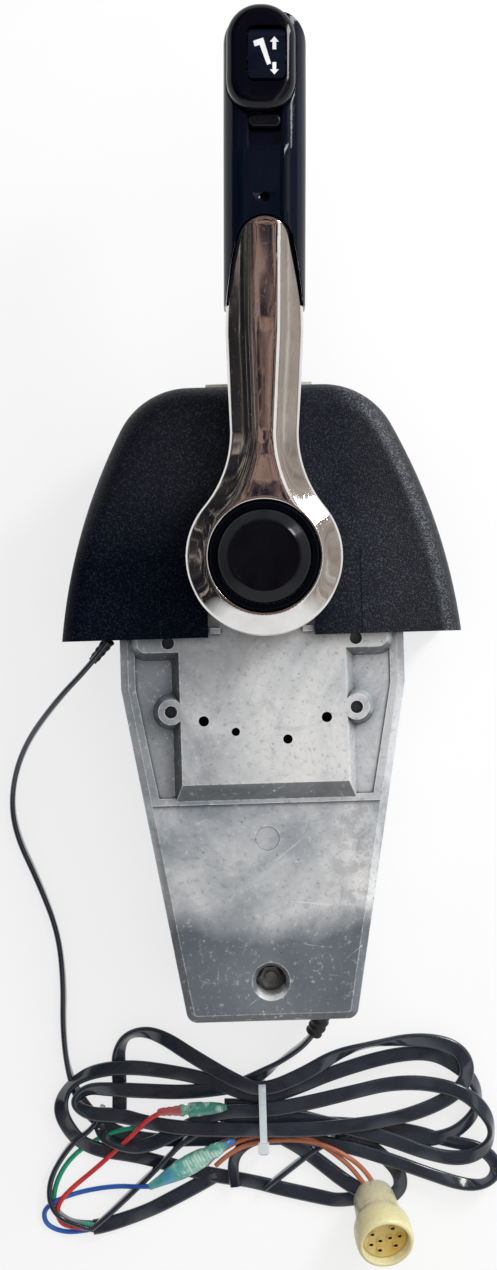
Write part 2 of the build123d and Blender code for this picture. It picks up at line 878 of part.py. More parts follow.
# ---- rear cover, its gasket and its screws
with BuildPart() as rear_cover:
    with BuildSketch(at_level(0)):
        add(case_plan(Plane.XY))
        add(tower_plan(Plane.XY))
    extrude(amount=rear_cover_thick)
    with BuildSketch(at_level(rear_cover_thick)):
        Circle(bush_radius + clamp_boss_wall)
    extrude(amount=rear_bush_front - rear_cover_thick)
    with BuildSketch(at_level(rear_cover_thick)):
        with Locations((0, sector_y)):
            Circle(sector_pin_radius + clamp_boss_wall)
    extrude(amount=rear_bush_front - rear_cover_thick)
    with BuildSketch(at_level(rear_cover_thick / 2)):
        Circle(bush_radius + press_gap)
    extrude(amount=rear_bush_front, mode=Mode.SUBTRACT)
    with BuildSketch(at_level(rear_cover_thick / 2)):
        with Locations((0, sector_y)):
            Circle(sector_pin_radius + press_gap)
    extrude(amount=rear_bush_front, mode=Mode.SUBTRACT)
    with BuildSketch(at_level(0)):
        with Locations(*rear_screws_at):
            Circle(rear_screw_radius + seat_gap)
        with Locations((clamp_x, clamp_y)):
            Circle(stud_radius + seat_gap)
    extrude(amount=rear_cover_thick, mode=Mode.SUBTRACT)
    with BuildSketch(at_level(0)):
        with Locations(*rear_screws_at):
            Circle(screw_head_radius + seat_gap)
        with Locations((clamp_x, clamp_y)):
            Circle(counterbore_radius)
    extrude(amount=screw_head_thick + 0.6, mode=Mode.SUBTRACT)

with BuildPart() as rear_gasket:
    with BuildSketch(at_level(rear_cover_thick)):
        add(case_plan(Plane.XY))
        add(tower_plan(Plane.XY))
        add(case_plan(Plane.XY, case_wall), mode=Mode.SUBTRACT)
        add(tower_plan(Plane.XY, case_wall), mode=Mode.SUBTRACT)
    extrude(amount=gasket_thick)

with BuildPart() as rear_cover_screws:
    for x, y in rear_screws_at:
        add(
            plain_screw(
                (x, y, 0.6), (0, 0, 1), rear_screw_radius, rear_screw_length, screw_head_radius, screw_head_thick
            )
        )

# ---- stud, washer and nut that clamp the rear cover at the foot
with BuildPart() as clamp_stud:
    with BuildSketch(at_level(0.6)):
        with Locations((clamp_x, clamp_y)):
            Circle(screw_head_radius + 1.0)
    extrude(amount=screw_head_thick)
    with BuildSketch(at_level(0.6 + screw_head_thick)):
        with Locations((clamp_x, clamp_y)):
            Circle(stud_radius)
    extrude(amount=counterbore_floor + nut_thick + 3.0 - screw_head_thick - 0.6)

with BuildPart() as clamp_washer:
    with BuildSketch(at_level(counterbore_floor)):
        with Locations((clamp_x, clamp_y)):
            Circle(counterbore_radius - seat_gap)
            Circle(stud_radius + press_gap, mode=Mode.SUBTRACT)
    extrude(amount=washer_thick)

with BuildPart() as clamp_nut:
    with BuildSketch(at_level(counterbore_floor + washer_thick)):
        with Locations((clamp_x, clamp_y)):
            RegularPolygon(nut_flats / 2, 6, major_radius=False)
            Circle(stud_radius + press_gap, mode=Mode.SUBTRACT)
    extrude(amount=nut_thick)

# ---- bushes of the lever shaft
with BuildPart() as front_bush:
    with BuildSketch(at_level(case_front - case_roof)):
        Circle(bush_radius)
        Circle(shaft_radius + running_gap, mode=Mode.SUBTRACT)
    extrude(amount=pad_front + boss_height - case_front + case_roof)

with BuildPart() as rear_bush:
    with BuildSketch(at_level(rear_cover_thick / 2 + press_gap)):
        Circle(bush_radius)
        Circle(shaft_radius + running_gap, mode=Mode.SUBTRACT)
    extrude(amount=rear_bush_front - rear_cover_thick / 2 - press_gap)

with BuildPart() as sector_pin:
    with BuildSketch(at_level(rear_cover_thick / 2)):
        with Locations((0, sector_y)):
            Circle(sector_pin_radius)
    extrude(amount=case_front - 1.0 - rear_cover_thick / 2)

# ---- detent: a roller on a leaf spring beside the pinion's notched collar
with BuildPart() as detent_roller:
    with BuildSketch(at_level(detent_front - roller_length)):
        with Locations((roller_x, 0)):
            Circle(roller_radius)
    extrude(amount=roller_length)

with BuildPart() as detent_leaf:
    with BuildSketch(at_level(detent_front - roller_length)):
        with Locations((leaf_x + leaf_thick / 2, 4.0)):
            Rectangle(leaf_thick, 2 * leaf_half)
    extrude(amount=roller_length)

# ---- friction screw and the pad that it holds against the collar
with BuildPart() as friction_pad:
    with BuildSketch(at_level(detent_front - roller_length)):
        with Locations((detent_radius + 0.3 + friction_pad_thick / 2, 0)):
            Rectangle(friction_pad_thick, 2 * friction_pad_half)
    extrude(amount=roller_length)

with BuildPart() as friction_screw:
    with BuildSketch(Plane.YZ.offset(detent_radius + 0.3 + friction_pad_thick)):
        with Locations((0, detent_front - roller_length / 2)):
            Circle(friction_screw_radius)
    extrude(amount=tower_radius + 6.0 - detent_radius - friction_pad_thick)

# ---- neutral safety switch on the case's roof
with BuildPart() as neutral_switch:
    with BuildSketch(at_level(case_front - case_roof - neutral_switch_size[2])):
        with Locations((neutral_switch_x, neutral_switch_y)):
            Rectangle(neutral_switch_size[0], neutral_switch_size[1])
    extrude(amount=neutral_switch_size[2])
    with BuildSketch(at_level(case_front - case_roof - neutral_switch_size[2] - 3.0)):
        with Locations((neutral_switch_x, neutral_switch_y + 4.0)):
            Circle(1.5)
    extrude(amount=3.0)


# ---- moulded cover in two halves that meet behind the lever
def cover_hollow():
    """The space inside the moulded cover, open at the console line."""
    with BuildPart() as hollow:
        with BuildSketch(at_level(cover_wall)):
            add(cover_plan(Plane.XY, cover_wall, console_y - cover_wall))
        extrude(amount=cover_front - 2 * cover_wall)
        front = hollow.faces().sort_by(Axis.Z)[-1]
        fillet(front.edges().sort_by(Axis.Y)[1:], cover_lip - cover_wall)
    return hollow.part


def cover_shell():
    """The whole cover as one shell, open below and windowed for the hub and the tower."""
    with BuildPart() as shell:
        with BuildSketch(at_level(0)):
            add(cover_plan(Plane.XY))
        extrude(amount=cover_front)
        front = shell.faces().sort_by(Axis.Z)[-1]
        fillet(front.edges().sort_by(Axis.Y)[1:], cover_lip)
        with BuildSketch(at_level(cover_front)):
            for side in (-1, 1):
                with Locations((housing_x + side * cover_rib_x, console_y + cover_rib_length / 2)):
                    Rectangle(cover_rib_width, cover_rib_length)
        extrude(amount=cover_rib_height)
        add(cover_hollow(), mode=Mode.SUBTRACT)
        with BuildSketch(at_level(0)):
            add(tower_plan(Plane.XY, -cover_gap))
            with Locations((housing_x, console_y + flange_thick / 2)):
                Rectangle(2 * (case_half + cover_gap), flange_thick + 2 * cover_gap)
        extrude(amount=cover_wall, mode=Mode.SUBTRACT)
        with BuildSketch(at_level(cover_front - cover_wall)):
            Circle(hub_window_radius)
            with Locations((housing_x, console_y / 2 - 1.0)):
                Rectangle(2 * slot_half, -console_y + 2.0)
        extrude(amount=2 * cover_wall, mode=Mode.SUBTRACT)
        with BuildSketch(at_level(0)):
            with Locations(*mirrored(cover_screws_at)):
                Circle(cover_screw_radius + seat_gap)
        extrude(amount=cover_wall, mode=Mode.SUBTRACT)
        with BuildSketch(at_level(0)):
            with Locations(*mirrored(cover_screws_at)):
                Circle(cover_head_radius + seat_gap)
        extrude(amount=cover_head_thick + 0.1, mode=Mode.SUBTRACT)
        # seat of the spring clip on the crown
        with BuildSketch(Plane.XZ.offset(-cover_top_y)):
            with Locations((0, cover_front - cover_lip - clip_depth / 2)):
                Rectangle(2 * (clip_half + seat_gap), clip_depth + 2 * seat_gap)
        extrude(amount=clip_thick, mode=Mode.SUBTRACT)
    return shell.part


whole_cover = cover_shell()
with BuildPart() as cover_aft:
    add(whole_cover)
    split(bisect_by=Plane.YZ.offset(-cover_gap / 2), keep=Keep.BOTTOM)

with BuildPart() as cover_fore:
    add(whole_cover)
    split(bisect_by=Plane.YZ.offset(cover_gap / 2), keep=Keep.TOP)

with BuildPart() as cover_clip:
    with BuildSketch(Plane.XZ.offset(-cover_top_y - clip_proud)):
        with Locations((0, cover_front - cover_lip - clip_depth / 2)):
            Rectangle(2 * clip_half, clip_depth)
    extrude(amount=clip_thick + clip_proud)

with BuildPart() as cover_screws:
    for x, y in mirrored(cover_screws_at):
        add(
            plain_screw(
                (x, y, 0.1),
                (0, 0, 1),
                cover_screw_radius,
                cover_screw_length,
                cover_head_radius,
                cover_head_thick,
            )
        )

# ================================================================ lever
# ---- chrome-plated shroud: a skin open at its back, with posts for the screws
with BuildPart() as chrome_shroud:
    add(chrome_form())
    add(chrome_form(chrome_wall, 4.0), mode=Mode.SUBTRACT)
    with BuildSketch(lever_level(hub_front - chrome_bevel - 2 * chrome_wall)):
        Circle(button_hole_radius)
    extrude(amount=3 * chrome_bevel, mode=Mode.SUBTRACT)
    with BuildSketch(lever_level(hub_front - hole_bevel_depth)):
        Circle(button_hole_radius)
    with BuildSketch(lever_level(hub_front)):
        Circle(button_hole_radius + hole_bevel_width)
    loft(mode=Mode.SUBTRACT)
    # the way of the core and the lock rod through the end of the arch
    with BuildSketch(across_lever(arch_tip + chrome_wall)):
        with Locations((0, (lever_back + arch_window_top) / 2)):
            Rectangle(2 * (core_half + seat_gap), arch_window_top - lever_back)
    extrude(amount=6 * chrome_wall, mode=Mode.SUBTRACT)
    for station in shroud_posts_at:
        post_foot = level_at(core_stations, station, 2) + 0.6
        post_top = level_at(chrome_stations, station, 2) - chrome_wall + 0.8
        with BuildSketch(lever_level(post_foot)):
            with Locations((shroud_post_x, station)):
                Circle(shroud_post_radius)
                Circle(shroud_screw_radius + press_gap, mode=Mode.SUBTRACT)
        extrude(amount=post_top - post_foot)

with BuildPart() as lever_back_cover:
    add(lever_slab(0.0, back_cover_thick, hub_radius, chrome_stations))
    with BuildSketch(lever_level(lever_back - 1.0)):
        add(lever_plan(Plane.XY, chrome_wall + seat_gap))
        Circle(core_hub_radius + seat_gap, mode=Mode.SUBTRACT)
        add(pawl_way(), mode=Mode.SUBTRACT)
        with Locations(*[(shroud_post_x, station) for station in shroud_posts_at]):
            Circle(shroud_screw_radius + seat_gap, mode=Mode.SUBTRACT)
    extrude(amount=hub_radius, mode=Mode.INTERSECT)

# ---- die-cast core: the hub on the shaft and the bar up to the pod
with BuildPart() as lever_arm:
    for station, back, front in core_stations:
        with BuildSketch(across_lever(station)):
            with Locations((0, (back + front) / 2)):
                Rectangle(2 * core_half, front - back)
    loft(ruled=True)
    with BuildSketch(lever_level(lever_back)):
        Circle(core_hub_radius)
    extrude(amount=core_hub_front - lever_back)
    # double-flat seat on the shaft
    with BuildSketch(lever_level(lever_back)) as seat:
        Circle(shaft_nose_radius + press_gap)
        Rectangle(4 * shaft_nose_radius, 2 * (shaft_flat_half + press_gap), mode=Mode.INTERSECT)
    extrude(amount=core_hub_front - lever_back, mode=Mode.SUBTRACT)
    with BuildSketch(lever_level(lever_back)):
        add(pawl_way())
    extrude(amount=core_hub_front, mode=Mode.SUBTRACT)
    with BuildSketch(lever_level(lever_back)):
        for station in shroud_posts_at:
            with Locations((shroud_post_x, station)):
                Circle(shroud_screw_radius + press_gap)
        with Locations((0, dish_at)):
            Circle(grip_screw_radius + press_gap)
    extrude(amount=hub_radius, mode=Mode.SUBTRACT)

with BuildPart() as lever_screws:
    for station in shroud_posts_at:
        head_level = level_at(chrome_stations, station - shroud_head_radius, 1) - screw_head_thick / 2
        head = lever_front_plane.from_local_coords((shroud_post_x, station, head_level))
        length = level_at(core_stations, station, 2) + lever_screw_reach - head_level
        add(plain_screw(tuple(head), (0, 0, 1), shroud_screw_radius, length, shroud_head_radius, screw_head_thick / 2))

# ---- grip shells
with BuildPart() as grip_rear_shell:
    add(grip_shell_form(0.0, 1, grip_round))
    add(grip_shell_form(grip_wall, 1, grip_round), mode=Mode.SUBTRACT)
    with BuildSketch(lever_level(lever_back)):
        add(lever_plan(Plane.XY, -seat_gap))
    extrude(amount=60, mode=Mode.SUBTRACT)
    # ribs that carry the core
    for station in grip_ribs_at:
        skin = level_at(grip_stations, station, 1) + grip_wall - 0.6
        rest = level_at(core_stations, station - grip_rib_thick / 2, 1) - seat_gap / 2
        with BuildSketch(lever_level(skin)):
            with Locations((0, station)):
                Rectangle(2 * (grip_half - grip_round), grip_rib_thick)
        extrude(amount=rest - skin)

with BuildPart() as grip_front_shell:
    add(grip_shell_form(0.0, 2, -grip_round))
    add(grip_shell_form(grip_wall, 2, -grip_round), mode=Mode.SUBTRACT)
    with BuildSketch(lever_level(lever_back)):
        add(lever_plan(Plane.XY, -seat_gap))
    extrude(amount=60, mode=Mode.SUBTRACT)
    with BuildSketch(lever_level(pod_back - seat_gap)):
        add(pod_plan(Plane.XY, seat_gap))
    extrude(amount=60, mode=Mode.SUBTRACT)
    # shallow pocket below the trigger, then the trigger's own window
    scoop_high = trigger_low - swing_gap
    with BuildSketch(lever_level(scoop_floor - scoop_wall)):
        with Locations((0, (scoop_low - scoop_wall + scoop_high) / 2)):
            Rectangle(2 * (trigger_half + swing_gap + scoop_wall), scoop_high - scoop_low + scoop_wall)
    extrude(amount=level_at(grip_stations, scoop_low, 2) - scoop_floor)
    with BuildSketch(lever_level(scoop_floor)) as pocket:
        with Locations((0, (scoop_low + scoop_high) / 2)):
            Rectangle(2 * (trigger_half + swing_gap), scoop_high - scoop_low)
        fillet(pocket.vertices().group_by(Axis.Y)[0], scoop_corner)
    extrude(amount=grip_round, mode=Mode.SUBTRACT)
    window_high = trigger_high + trigger_travel + swing_gap
    with BuildSketch(lever_level(lever_back)):
        with Locations((0, (scoop_high + window_high) / 2)):
            Rectangle(2 * (trigger_half + swing_gap), window_high - scoop_high)
    extrude(amount=60, mode=Mode.SUBTRACT)
    # screw post under the dish, with the screw's head sunk in it
    dish_level = level_at(grip_stations, dish_at, 2)
    head_level = dish_level - grip_hole_depth
    post_foot = level_at(core_stations, dish_at + grip_post_radius, 2) + seat_gap / 2
    with BuildSketch(lever_level(post_foot)):
        with Locations((0, dish_at)):
            Circle(grip_post_radius)
    extrude(amount=dish_level - grip_wall / 2 - post_foot)
    with BuildSketch(lever_level(post_foot)):
        with Locations((0, dish_at)):
            Circle(grip_screw_radius + press_gap)
    extrude(amount=grip_round + 10.0, mode=Mode.SUBTRACT)
    with BuildSketch(lever_level(head_level)):
        with Locations((0, dish_at)):
            Circle(grip_hole_radius)
    extrude(amount=2 * grip_hole_depth, mode=Mode.SUBTRACT)
    with BuildSketch(lever_level(dish_level - dish_depth)):
        with Locations((0, dish_at)):
            Circle(grip_hole_radius)
    with BuildSketch(lever_level(dish_level + 0.2)):
        with Locations((0, dish_at)):
            Circle(dish_radius)
    loft(mode=Mode.SUBTRACT)

with BuildPart() as grip_screw:
    screw_foot = level_at(core_stations, dish_at, 1) + 1.0
    with BuildSketch(lever_level(screw_foot)):
        with Locations((0, dish_at)):
            Circle(grip_screw_radius)
    extrude(amount=head_level - screw_foot)
    with BuildSketch(lever_level(head_level)):
        with Locations((0, dish_at)):
            Circle(grip_hole_radius - press_gap)
    extrude(amount=grip_head_thick)

# ---- switch pod on the grip's front
rocker_half_gap = rocker_half_length + swing_gap + 0.1
with BuildPart() as switch_pod:
    with BuildSketch(lever_level(pod_back)):
        add(pod_plan(Plane.XY))
    extrude(amount=pod_front - pod_back)
    fillet(switch_pod.faces().sort_by(Axis.Z)[-1].edges(), pod_edge)
    with BuildSketch(lever_level(rocker_floor)) as recess:
        with Locations((rocker_x, rocker_at)):
            Rectangle(2 * (rocker_half_width + swing_gap), 2 * rocker_half_gap)
        fillet(recess.vertices(), rocker_corner)
    extrude(amount=pod_front, mode=Mode.SUBTRACT)
    with BuildSketch(lever_level(pod_back)):
        with Locations((rocker_x, rocker_at)):
            Rectangle(2 * (switch_half_width + seat_gap), 2 * (switch_half_length + seat_gap))
    extrude(amount=rocker_floor - pod_back, mode=Mode.SUBTRACT)
    with BuildSketch(lever_level(pod_back)):
        with Locations((0, pod_low)):
            Rectangle(2 * (trigger_half + swing_gap), 2 * (trigger_high + trigger_travel + swing_gap - pod_low))
    extrude(amount=trigger_front + swing_gap - pod_back, mode=Mode.SUBTRACT)
    with BuildSketch(lever_side_plane.offset(pod_x - pod_half)):
        with Locations((rocker_at, rocker_axis_level)):
            Circle(rocker_pin_radius + press_gap)
    extrude(amount=2 * pod_half, mode=Mode.SUBTRACT)
    with BuildSketch(lever_level(pod_back)):
        with Locations(*[(0, station) for station in pod_posts_at]):
            Circle(pod_post_radius)
    extrude(amount=core_stations[-1][2] - pod_back)

with BuildPart() as trim_switch:
    with BuildSketch(lever_level(pod_back + 0.4)):
        with Locations((rocker_x, rocker_at)):
            Rectangle(2 * switch_half_width, 2 * switch_half_length)
    extrude(amount=rocker_floor - pod_back - 0.4)

with BuildPart() as rocker_pin:
    with BuildSketch(lever_side_plane.offset(pod_x - pod_half + 1.0)):
        with Locations((rocker_at, rocker_axis_level)):
            Circle(rocker_pin_radius)
    extrude(amount=2 * pod_half - 2.0)

with BuildPart() as trim_rocker:
    with BuildSketch(lever_side_plane.offset(rocker_x)) as side:
        with BuildLine():
            low = rocker_at - rocker_half_length
            high = rocker_at + rocker_half_length
            crest = pod_front + rocker_stand
            Polyline(
                (low, rocker_axis_level - 2.4),
                (high, rocker_axis_level - 2.4),
                (high - 0.9, crest - 1.4),
                (high - 3.6, crest),
                (rocker_at, crest - 0.8),
                (low + 3.6, crest),
                (low + 0.9, crest - 1.4),
                close=True,
            )
        make_face()
        with Locations((rocker_at, rocker_axis_level)):
            Circle(rocker_pin_radius + running_gap, mode=Mode.SUBTRACT)
    extrude(amount=rocker_half_width, both=True)
    with BuildSketch(lever_level(rocker_floor)):
        with Locations((rocker_x, rocker_at)):
            RectangleRounded(2 * rocker_half_width, 2 * rocker_half_length, rocker_corner)
    extrude(amount=crest, mode=Mode.INTERSECT)

# ---- neutral lock: trigger, rod down the lever and the pawl at the hub
with BuildPart() as neutral_trigger:
    with BuildSketch(lever_level(trigger_bottom)):
        with Locations((0, (trigger_low + trigger_high) / 2)):
            RectangleRounded(2 * trigger_half, trigger_high - trigger_low, trigger_corner)
    extrude(amount=trigger_front - trigger_bottom)
    fillet(neutral_trigger.edges().group_by(Axis.Z)[-1], 0.8)

with BuildPart() as lock_rod:
    rod_start = lever_front_plane.from_local_coords((rod_x, pawl_high - 1.0, rod_low_level))
    rod_end = lever_front_plane.from_local_coords((rod_x, trigger_low - 6.0, rod_high_level))
    rod_tip = lever_front_plane.from_local_coords((rod_x, trigger_low, rod_high_level))
    with BuildLine():
        rod_line = FilletPolyline(rod_start, rod_end, rod_tip, radius=12.0)
    with BuildSketch(Plane(origin=rod_line @ 0, z_dir=rod_line % 0)):
        Circle(rod_radius)
    sweep(path=rod_line)
    with BuildSketch(lever_level(pawl_bottom)):
        with Locations((rod_x, (pawl_low + pawl_high) / 2)):
            Rectangle(2 * pawl_half, pawl_high - pawl_low)
    extrude(amount=rod_low_level + rod_radius - pawl_bottom)

with BuildPart() as trigger_spring:
    core_top = core_stations[-1][2]
    with BuildSketch(lever_side_plane.offset(2.0)):
        with BuildLine():
            Polyline(
                (trigger_high + 0.02, trigger_bottom + 3.0),
                (trigger_high + 3.0, core_top + 0.5),
                (trigger_high + 6.0, core_top + 0.5),
                (trigger_high + 6.0, core_top),
                (trigger_high + 2.6, core_top),
                (trigger_high + 0.02, trigger_bottom + 2.2),
                close=True,
            )
        make_face()
    extrude(amount=3.0)

# ---- button, its ring and the rubber boot that lifts it
with BuildPart() as accelerator_button:
    with BuildSketch(Plane.XZ):
        with BuildLine():
            Polyline(
                (0, button_front - button_wall),
                (button_face_radius - button_wall / 2, button_front - button_wall),
                (button_radius - button_wall, button_shoulder - button_wall / 2),
                (button_radius - button_wall, button_bottom),
                (button_radius, button_bottom),
                (button_radius, button_shoulder),
                (button_face_radius, button_front),
                (0, button_front),
                close=True,
            )
        make_face()
    revolve(axis=Axis.Z)
    with BuildSketch(at_level(button_front)):
        Circle(button_face_radius - 0.8)
    extrude(amount=-0.5, mode=Mode.SUBTRACT)

with BuildPart() as button_ring:
    with BuildSketch(at_level(hub_front - 9.0)):
        Circle(button_hole_radius - seat_gap)
        Circle(button_radius + seat_gap + 0.1, mode=Mode.SUBTRACT)
    extrude(amount=9.0 + 0.8)
    chamfer(button_ring.edges().group_by(Axis.Z)[-1].sort_by(SortBy.RADIUS)[-1], 0.6)

with BuildPart() as button_boot:
    with BuildSketch(Plane.XZ):
        with BuildLine():
            ceiling = button_front - button_wall
            step = (ceiling - core_hub_front) / 4
            folds = [boot_radius, boot_radius - boot_fold, boot_radius, boot_radius - boot_fold, boot_radius - 1.0]
            outer = [(radius, core_hub_front + index * step) for index, radius in enumerate(folds)]
            inner = [(x - boot_skin, z) for x, z in reversed(outer)]
            Polyline(*outer, *inner, close=True)
        make_face()
    revolve(axis=Axis.Z)

# ---- shaft and its fastenings
with BuildPart() as lever_shaft:
    with BuildSketch(lever_level(shaft_back)):
        Circle(shaft_radius)
    extrude(amount=lever_back - shaft_back)
    with BuildSketch(lever_level(detent_front)):
        Circle(shaft_shoulder_radius)
    extrude(amount=case_front - case_roof - 0.5 - detent_front)
    with BuildSketch(lever_level(lever_back)) as nose:
        Circle(shaft_nose_radius)
        Rectangle(4 * shaft_nose_radius, 2 * shaft_flat_half, mode=Mode.INTERSECT)
    extrude(amount=core_hub_front - lever_back)
    with BuildSketch(lever_level(rear_bush_front + 0.6)):
        Circle(shaft_radius)
        Circle(shaft_radius - 0.8, mode=Mode.SUBTRACT)
    extrude(amount=circlip_thick, mode=Mode.SUBTRACT)
    with BuildSketch(lever_level(lever_back - 4.0)):
        Circle(bolt_radius + press_gap)
    extrude(amount=core_hub_front, mode=Mode.SUBTRACT)

with BuildPart() as shaft_circlip:
    with BuildSketch(lever_level(rear_bush_front + 0.6)):
        Circle(shaft_radius + 2.4)
        Circle(shaft_radius - 0.8 + press_gap, mode=Mode.SUBTRACT)
        with Locations((0, shaft_radius)):
            Rectangle(4.0, 8.0, mode=Mode.SUBTRACT)
    extrude(amount=circlip_thick)

with BuildPart() as thrust_washer:
    with BuildSketch(lever_level(pad_front + boss_height + 0.3)):
        Circle(core_hub_radius)
        Circle(shaft_radius + press_gap, mode=Mode.SUBTRACT)
    extrude(amount=lever_back - pad_front - boss_height - 0.3)

with BuildPart() as lever_washer:
    with BuildSketch(lever_level(core_hub_front)):
        Circle(washer_radius)
        Circle(bolt_radius + seat_gap, mode=Mode.SUBTRACT)
    extrude(amount=washer_thick)

with BuildPart() as lever_bolt:
    with BuildSketch(lever_level(lever_back - 4.0)):
        Circle(bolt_radius)
    extrude(amount=core_hub_front + washer_thick - lever_back + 4.0)
    with BuildSketch(lever_level(core_hub_front + washer_thick)):
        RegularPolygon(bolt_head_radius, 6)
    extrude(amount=bolt_head_thick)

# ---- throttle arm and gears
with BuildPart() as throttle_arm:
    with BuildSketch(lever_level(rear_bush_front + 0.6 + circlip_thick + 0.2)):
        Circle(shaft_shoulder_radius + 3.0)
    extrude(amount=pinion_back - rear_bush_front - circlip_thick - 0.8)
    with BuildSketch(lever_level(throttle_arm_back)):
        with Locations((0, throttle_arm_length / 2)):
            Rectangle(arm_width, throttle_arm_length)
        with Locations((0, throttle_arm_length)):
            Circle(arm_width / 2)
        with Locations((0, throttle_arm_length)):
            Circle(arm_eye_radius, mode=Mode.SUBTRACT)
    extrude(amount=throttle_arm_thick)
    with BuildSketch(lever_level(rear_bush_front)):
        Circle(shaft_radius + press_gap)
    extrude(amount=pinion_back, mode=Mode.SUBTRACT)

with BuildPart() as drive_gear:
    with BuildSketch(at_level(pinion_back)):
        Circle(pinion_pitch - tooth_dedendum * gear_module)
        with PolarLocations(0, pinion_teeth, start_angle=-90):
            Polygon(*tooth_outline(pinion_teeth), align=None)
    extrude(amount=pinion_front - pinion_back)
    with BuildSketch(at_level(pinion_front)):
        Circle(detent_radius)
        with Locations((-detent_radius - 1.6, 0)):
            Circle(roller_radius - 0.4, mode=Mode.SUBTRACT)
    extrude(amount=detent_front - pinion_front)
    with BuildSketch(at_level(pinion_back)):
        Circle(shaft_radius + press_gap)
    extrude(amount=detent_front - pinion_back, mode=Mode.SUBTRACT)

tooth_pitch_angle = 360 / sector_teeth_full
sector_back = (pinion_back + pinion_front - sector_thick) / 2
with BuildPart() as shift_sector:
    with BuildSketch(Plane(origin=(0, sector_y, sector_back), z_dir=(0, 0, 1))):
        Circle(sector_pitch - tooth_dedendum * gear_module)
        with Locations((0, -sector_pitch - 2.0)):
            Rectangle(4 * sector_pitch, 2 * sector_pitch, mode=Mode.SUBTRACT)
        first_tooth = 90 - tooth_pitch_angle * (sector_teeth - 1) / 2 - tooth_pitch_angle / 2
        with PolarLocations(0, sector_teeth + 1, start_angle=first_tooth, angular_range=tooth_pitch_angle * (sector_teeth + 1)):
            Polygon(*tooth_outline(sector_teeth_full), align=None)
        Circle(sector_hub_radius)
        with Locations((0, -shift_arm / 2)):
            Rectangle(arm_width, shift_arm)
        with Locations((0, -shift_arm)):
            Circle(arm_width / 2)
            Circle(arm_eye_radius, mode=Mode.SUBTRACT)
        Circle(sector_pin_radius + running_gap, mode=Mode.SUBTRACT)
    extrude(amount=sector_thick)

# ================================================================ leads and harness
def lead_tube(route):
    """A plain tube along straight runs joined by arcs as large as the runs allow."""
    runs = [Vector(*b) - Vector(*a) for a, b in zip(route, route[1:])]
    radii = []
    for before, after in zip(runs, runs[1:]):
        half_turn = radians(before.get_angle(after)) / 2
        radii.append(0.45 * min(before.length, after.length) / tan(half_turn))
    with BuildPart() as tube:
        with BuildLine():
            path = FilletPolyline(*route, radius=radii)
        with BuildSketch(Plane(origin=path @ 0, z_dir=path % 0)):
            RegularPolygon(lead_radius, lead_sides)
        sweep(path=path, transition=Transition.RIGHT)
    section = lead_sides / 2 * lead_radius**2 * sin(2 * pi / lead_sides)
    print("radii", [round(radius, 1) for radius in radii])
    print("length", round(path.length, 1), "volume over section", round(tube.part.volume / section, 1))
    return tube.part


with BuildPart() as lead_grommet:
    with BuildSketch(Plane.XZ.offset(-console_y - flange_thick - grommet_lip)):
        with Locations((lead_x, lead_z)):
            Circle(grommet_radius + 1.4)
    extrude(amount=grommet_lip)
    with BuildSketch(Plane.XZ.offset(-console_y - flange_thick)):
        with Locations((lead_x, lead_z)):
            Circle(grommet_radius - press_gap)
    extrude(amount=flange_thick)

with BuildPart() as foot_grommet:
    with BuildSketch(Plane.XZ.offset(-foot_y)):
        with Locations((foot_lead_x, foot_lead_z)):
            Circle(grommet_radius + 1.4)
    extrude(amount=grommet_lip)
    with BuildSketch(Plane.XZ.offset(-foot_y - case_wall)):
        with Locations((foot_lead_x, foot_lead_z)):
            Circle(grommet_radius - press_gap)
    extrude(amount=case_wall)

with BuildPart() as trim_lead:
    add(lead_tube(trim_route))

with BuildPart() as neutral_lead:
    add(lead_tube(neutral_route))

with BuildPart() as harness_hank:
    with BuildSketch(at_level(0)):
        Polygon(*hank_outline, align=None)
    extrude(amount=hank_height)
    # where the tie passes under it
    with BuildSketch(at_level(0)):
        with Locations((tie_x + tie_width / 2, tie_y)):
            Rectangle(tie_width + 0.2, tie_span + 2.0)
    extrude(amount=tie_drop, mode=Mode.SUBTRACT)

with BuildPart() as tail_loop:
    with BuildSketch(at_level(0)):
        Polygon(*tail_outline, align=None)
    extrude(amount=tail_height)

with BuildPart() as cable_tie:
    tie_plane = Plane(origin=(tie_x, tie_y, (hank_height + tie_drop) / 2), x_dir=(0, 1, 0), z_dir=(1, 0, 0))
    with BuildSketch(tie_plane):
        RectangleRounded(tie_span + 2 * tie_thick, hank_height - tie_drop + 2 * tie_thick, 3.0)
        RectangleRounded(tie_span, hank_height - tie_drop, 0.4, mode=Mode.SUBTRACT)
    extrude(amount=tie_width)
    with BuildSketch(at_level(hank_height + tie_thick / 2)):
        with Locations((tie_x + tie_width / 2, tie_y - tie_span / 2 + 3.0)):
            Rectangle(tie_width + 1.6, 4.6)
    extrude(amount=3.0)

# ---- round connector on the brown pair
plug_plane = Plane(origin=plug_at, x_dir=plug_across, z_dir=plug_axis)
with BuildPart() as plug_shell:
    with BuildSketch(plug_plane):
        Circle(plug_tail_radius)
    extrude(amount=plug_tail_length)
    with BuildSketch(plug_plane.offset(plug_tail_length)):
        Circle(plug_body_radius)
    extrude(amount=plug_body_length)
    with BuildSketch(plug_plane.offset(plug_tail_length + plug_body_length)):
        Circle(plug_collar_radius)
    extrude(amount=plug_collar_length)
    with BuildSketch(plug_plane.offset(plug_tail_length + plug_body_length + plug_collar_length - plug_mouth)):
        Circle(plug_insert_radius + seat_gap)
    extrude(amount=plug_mouth, mode=Mode.SUBTRACT)

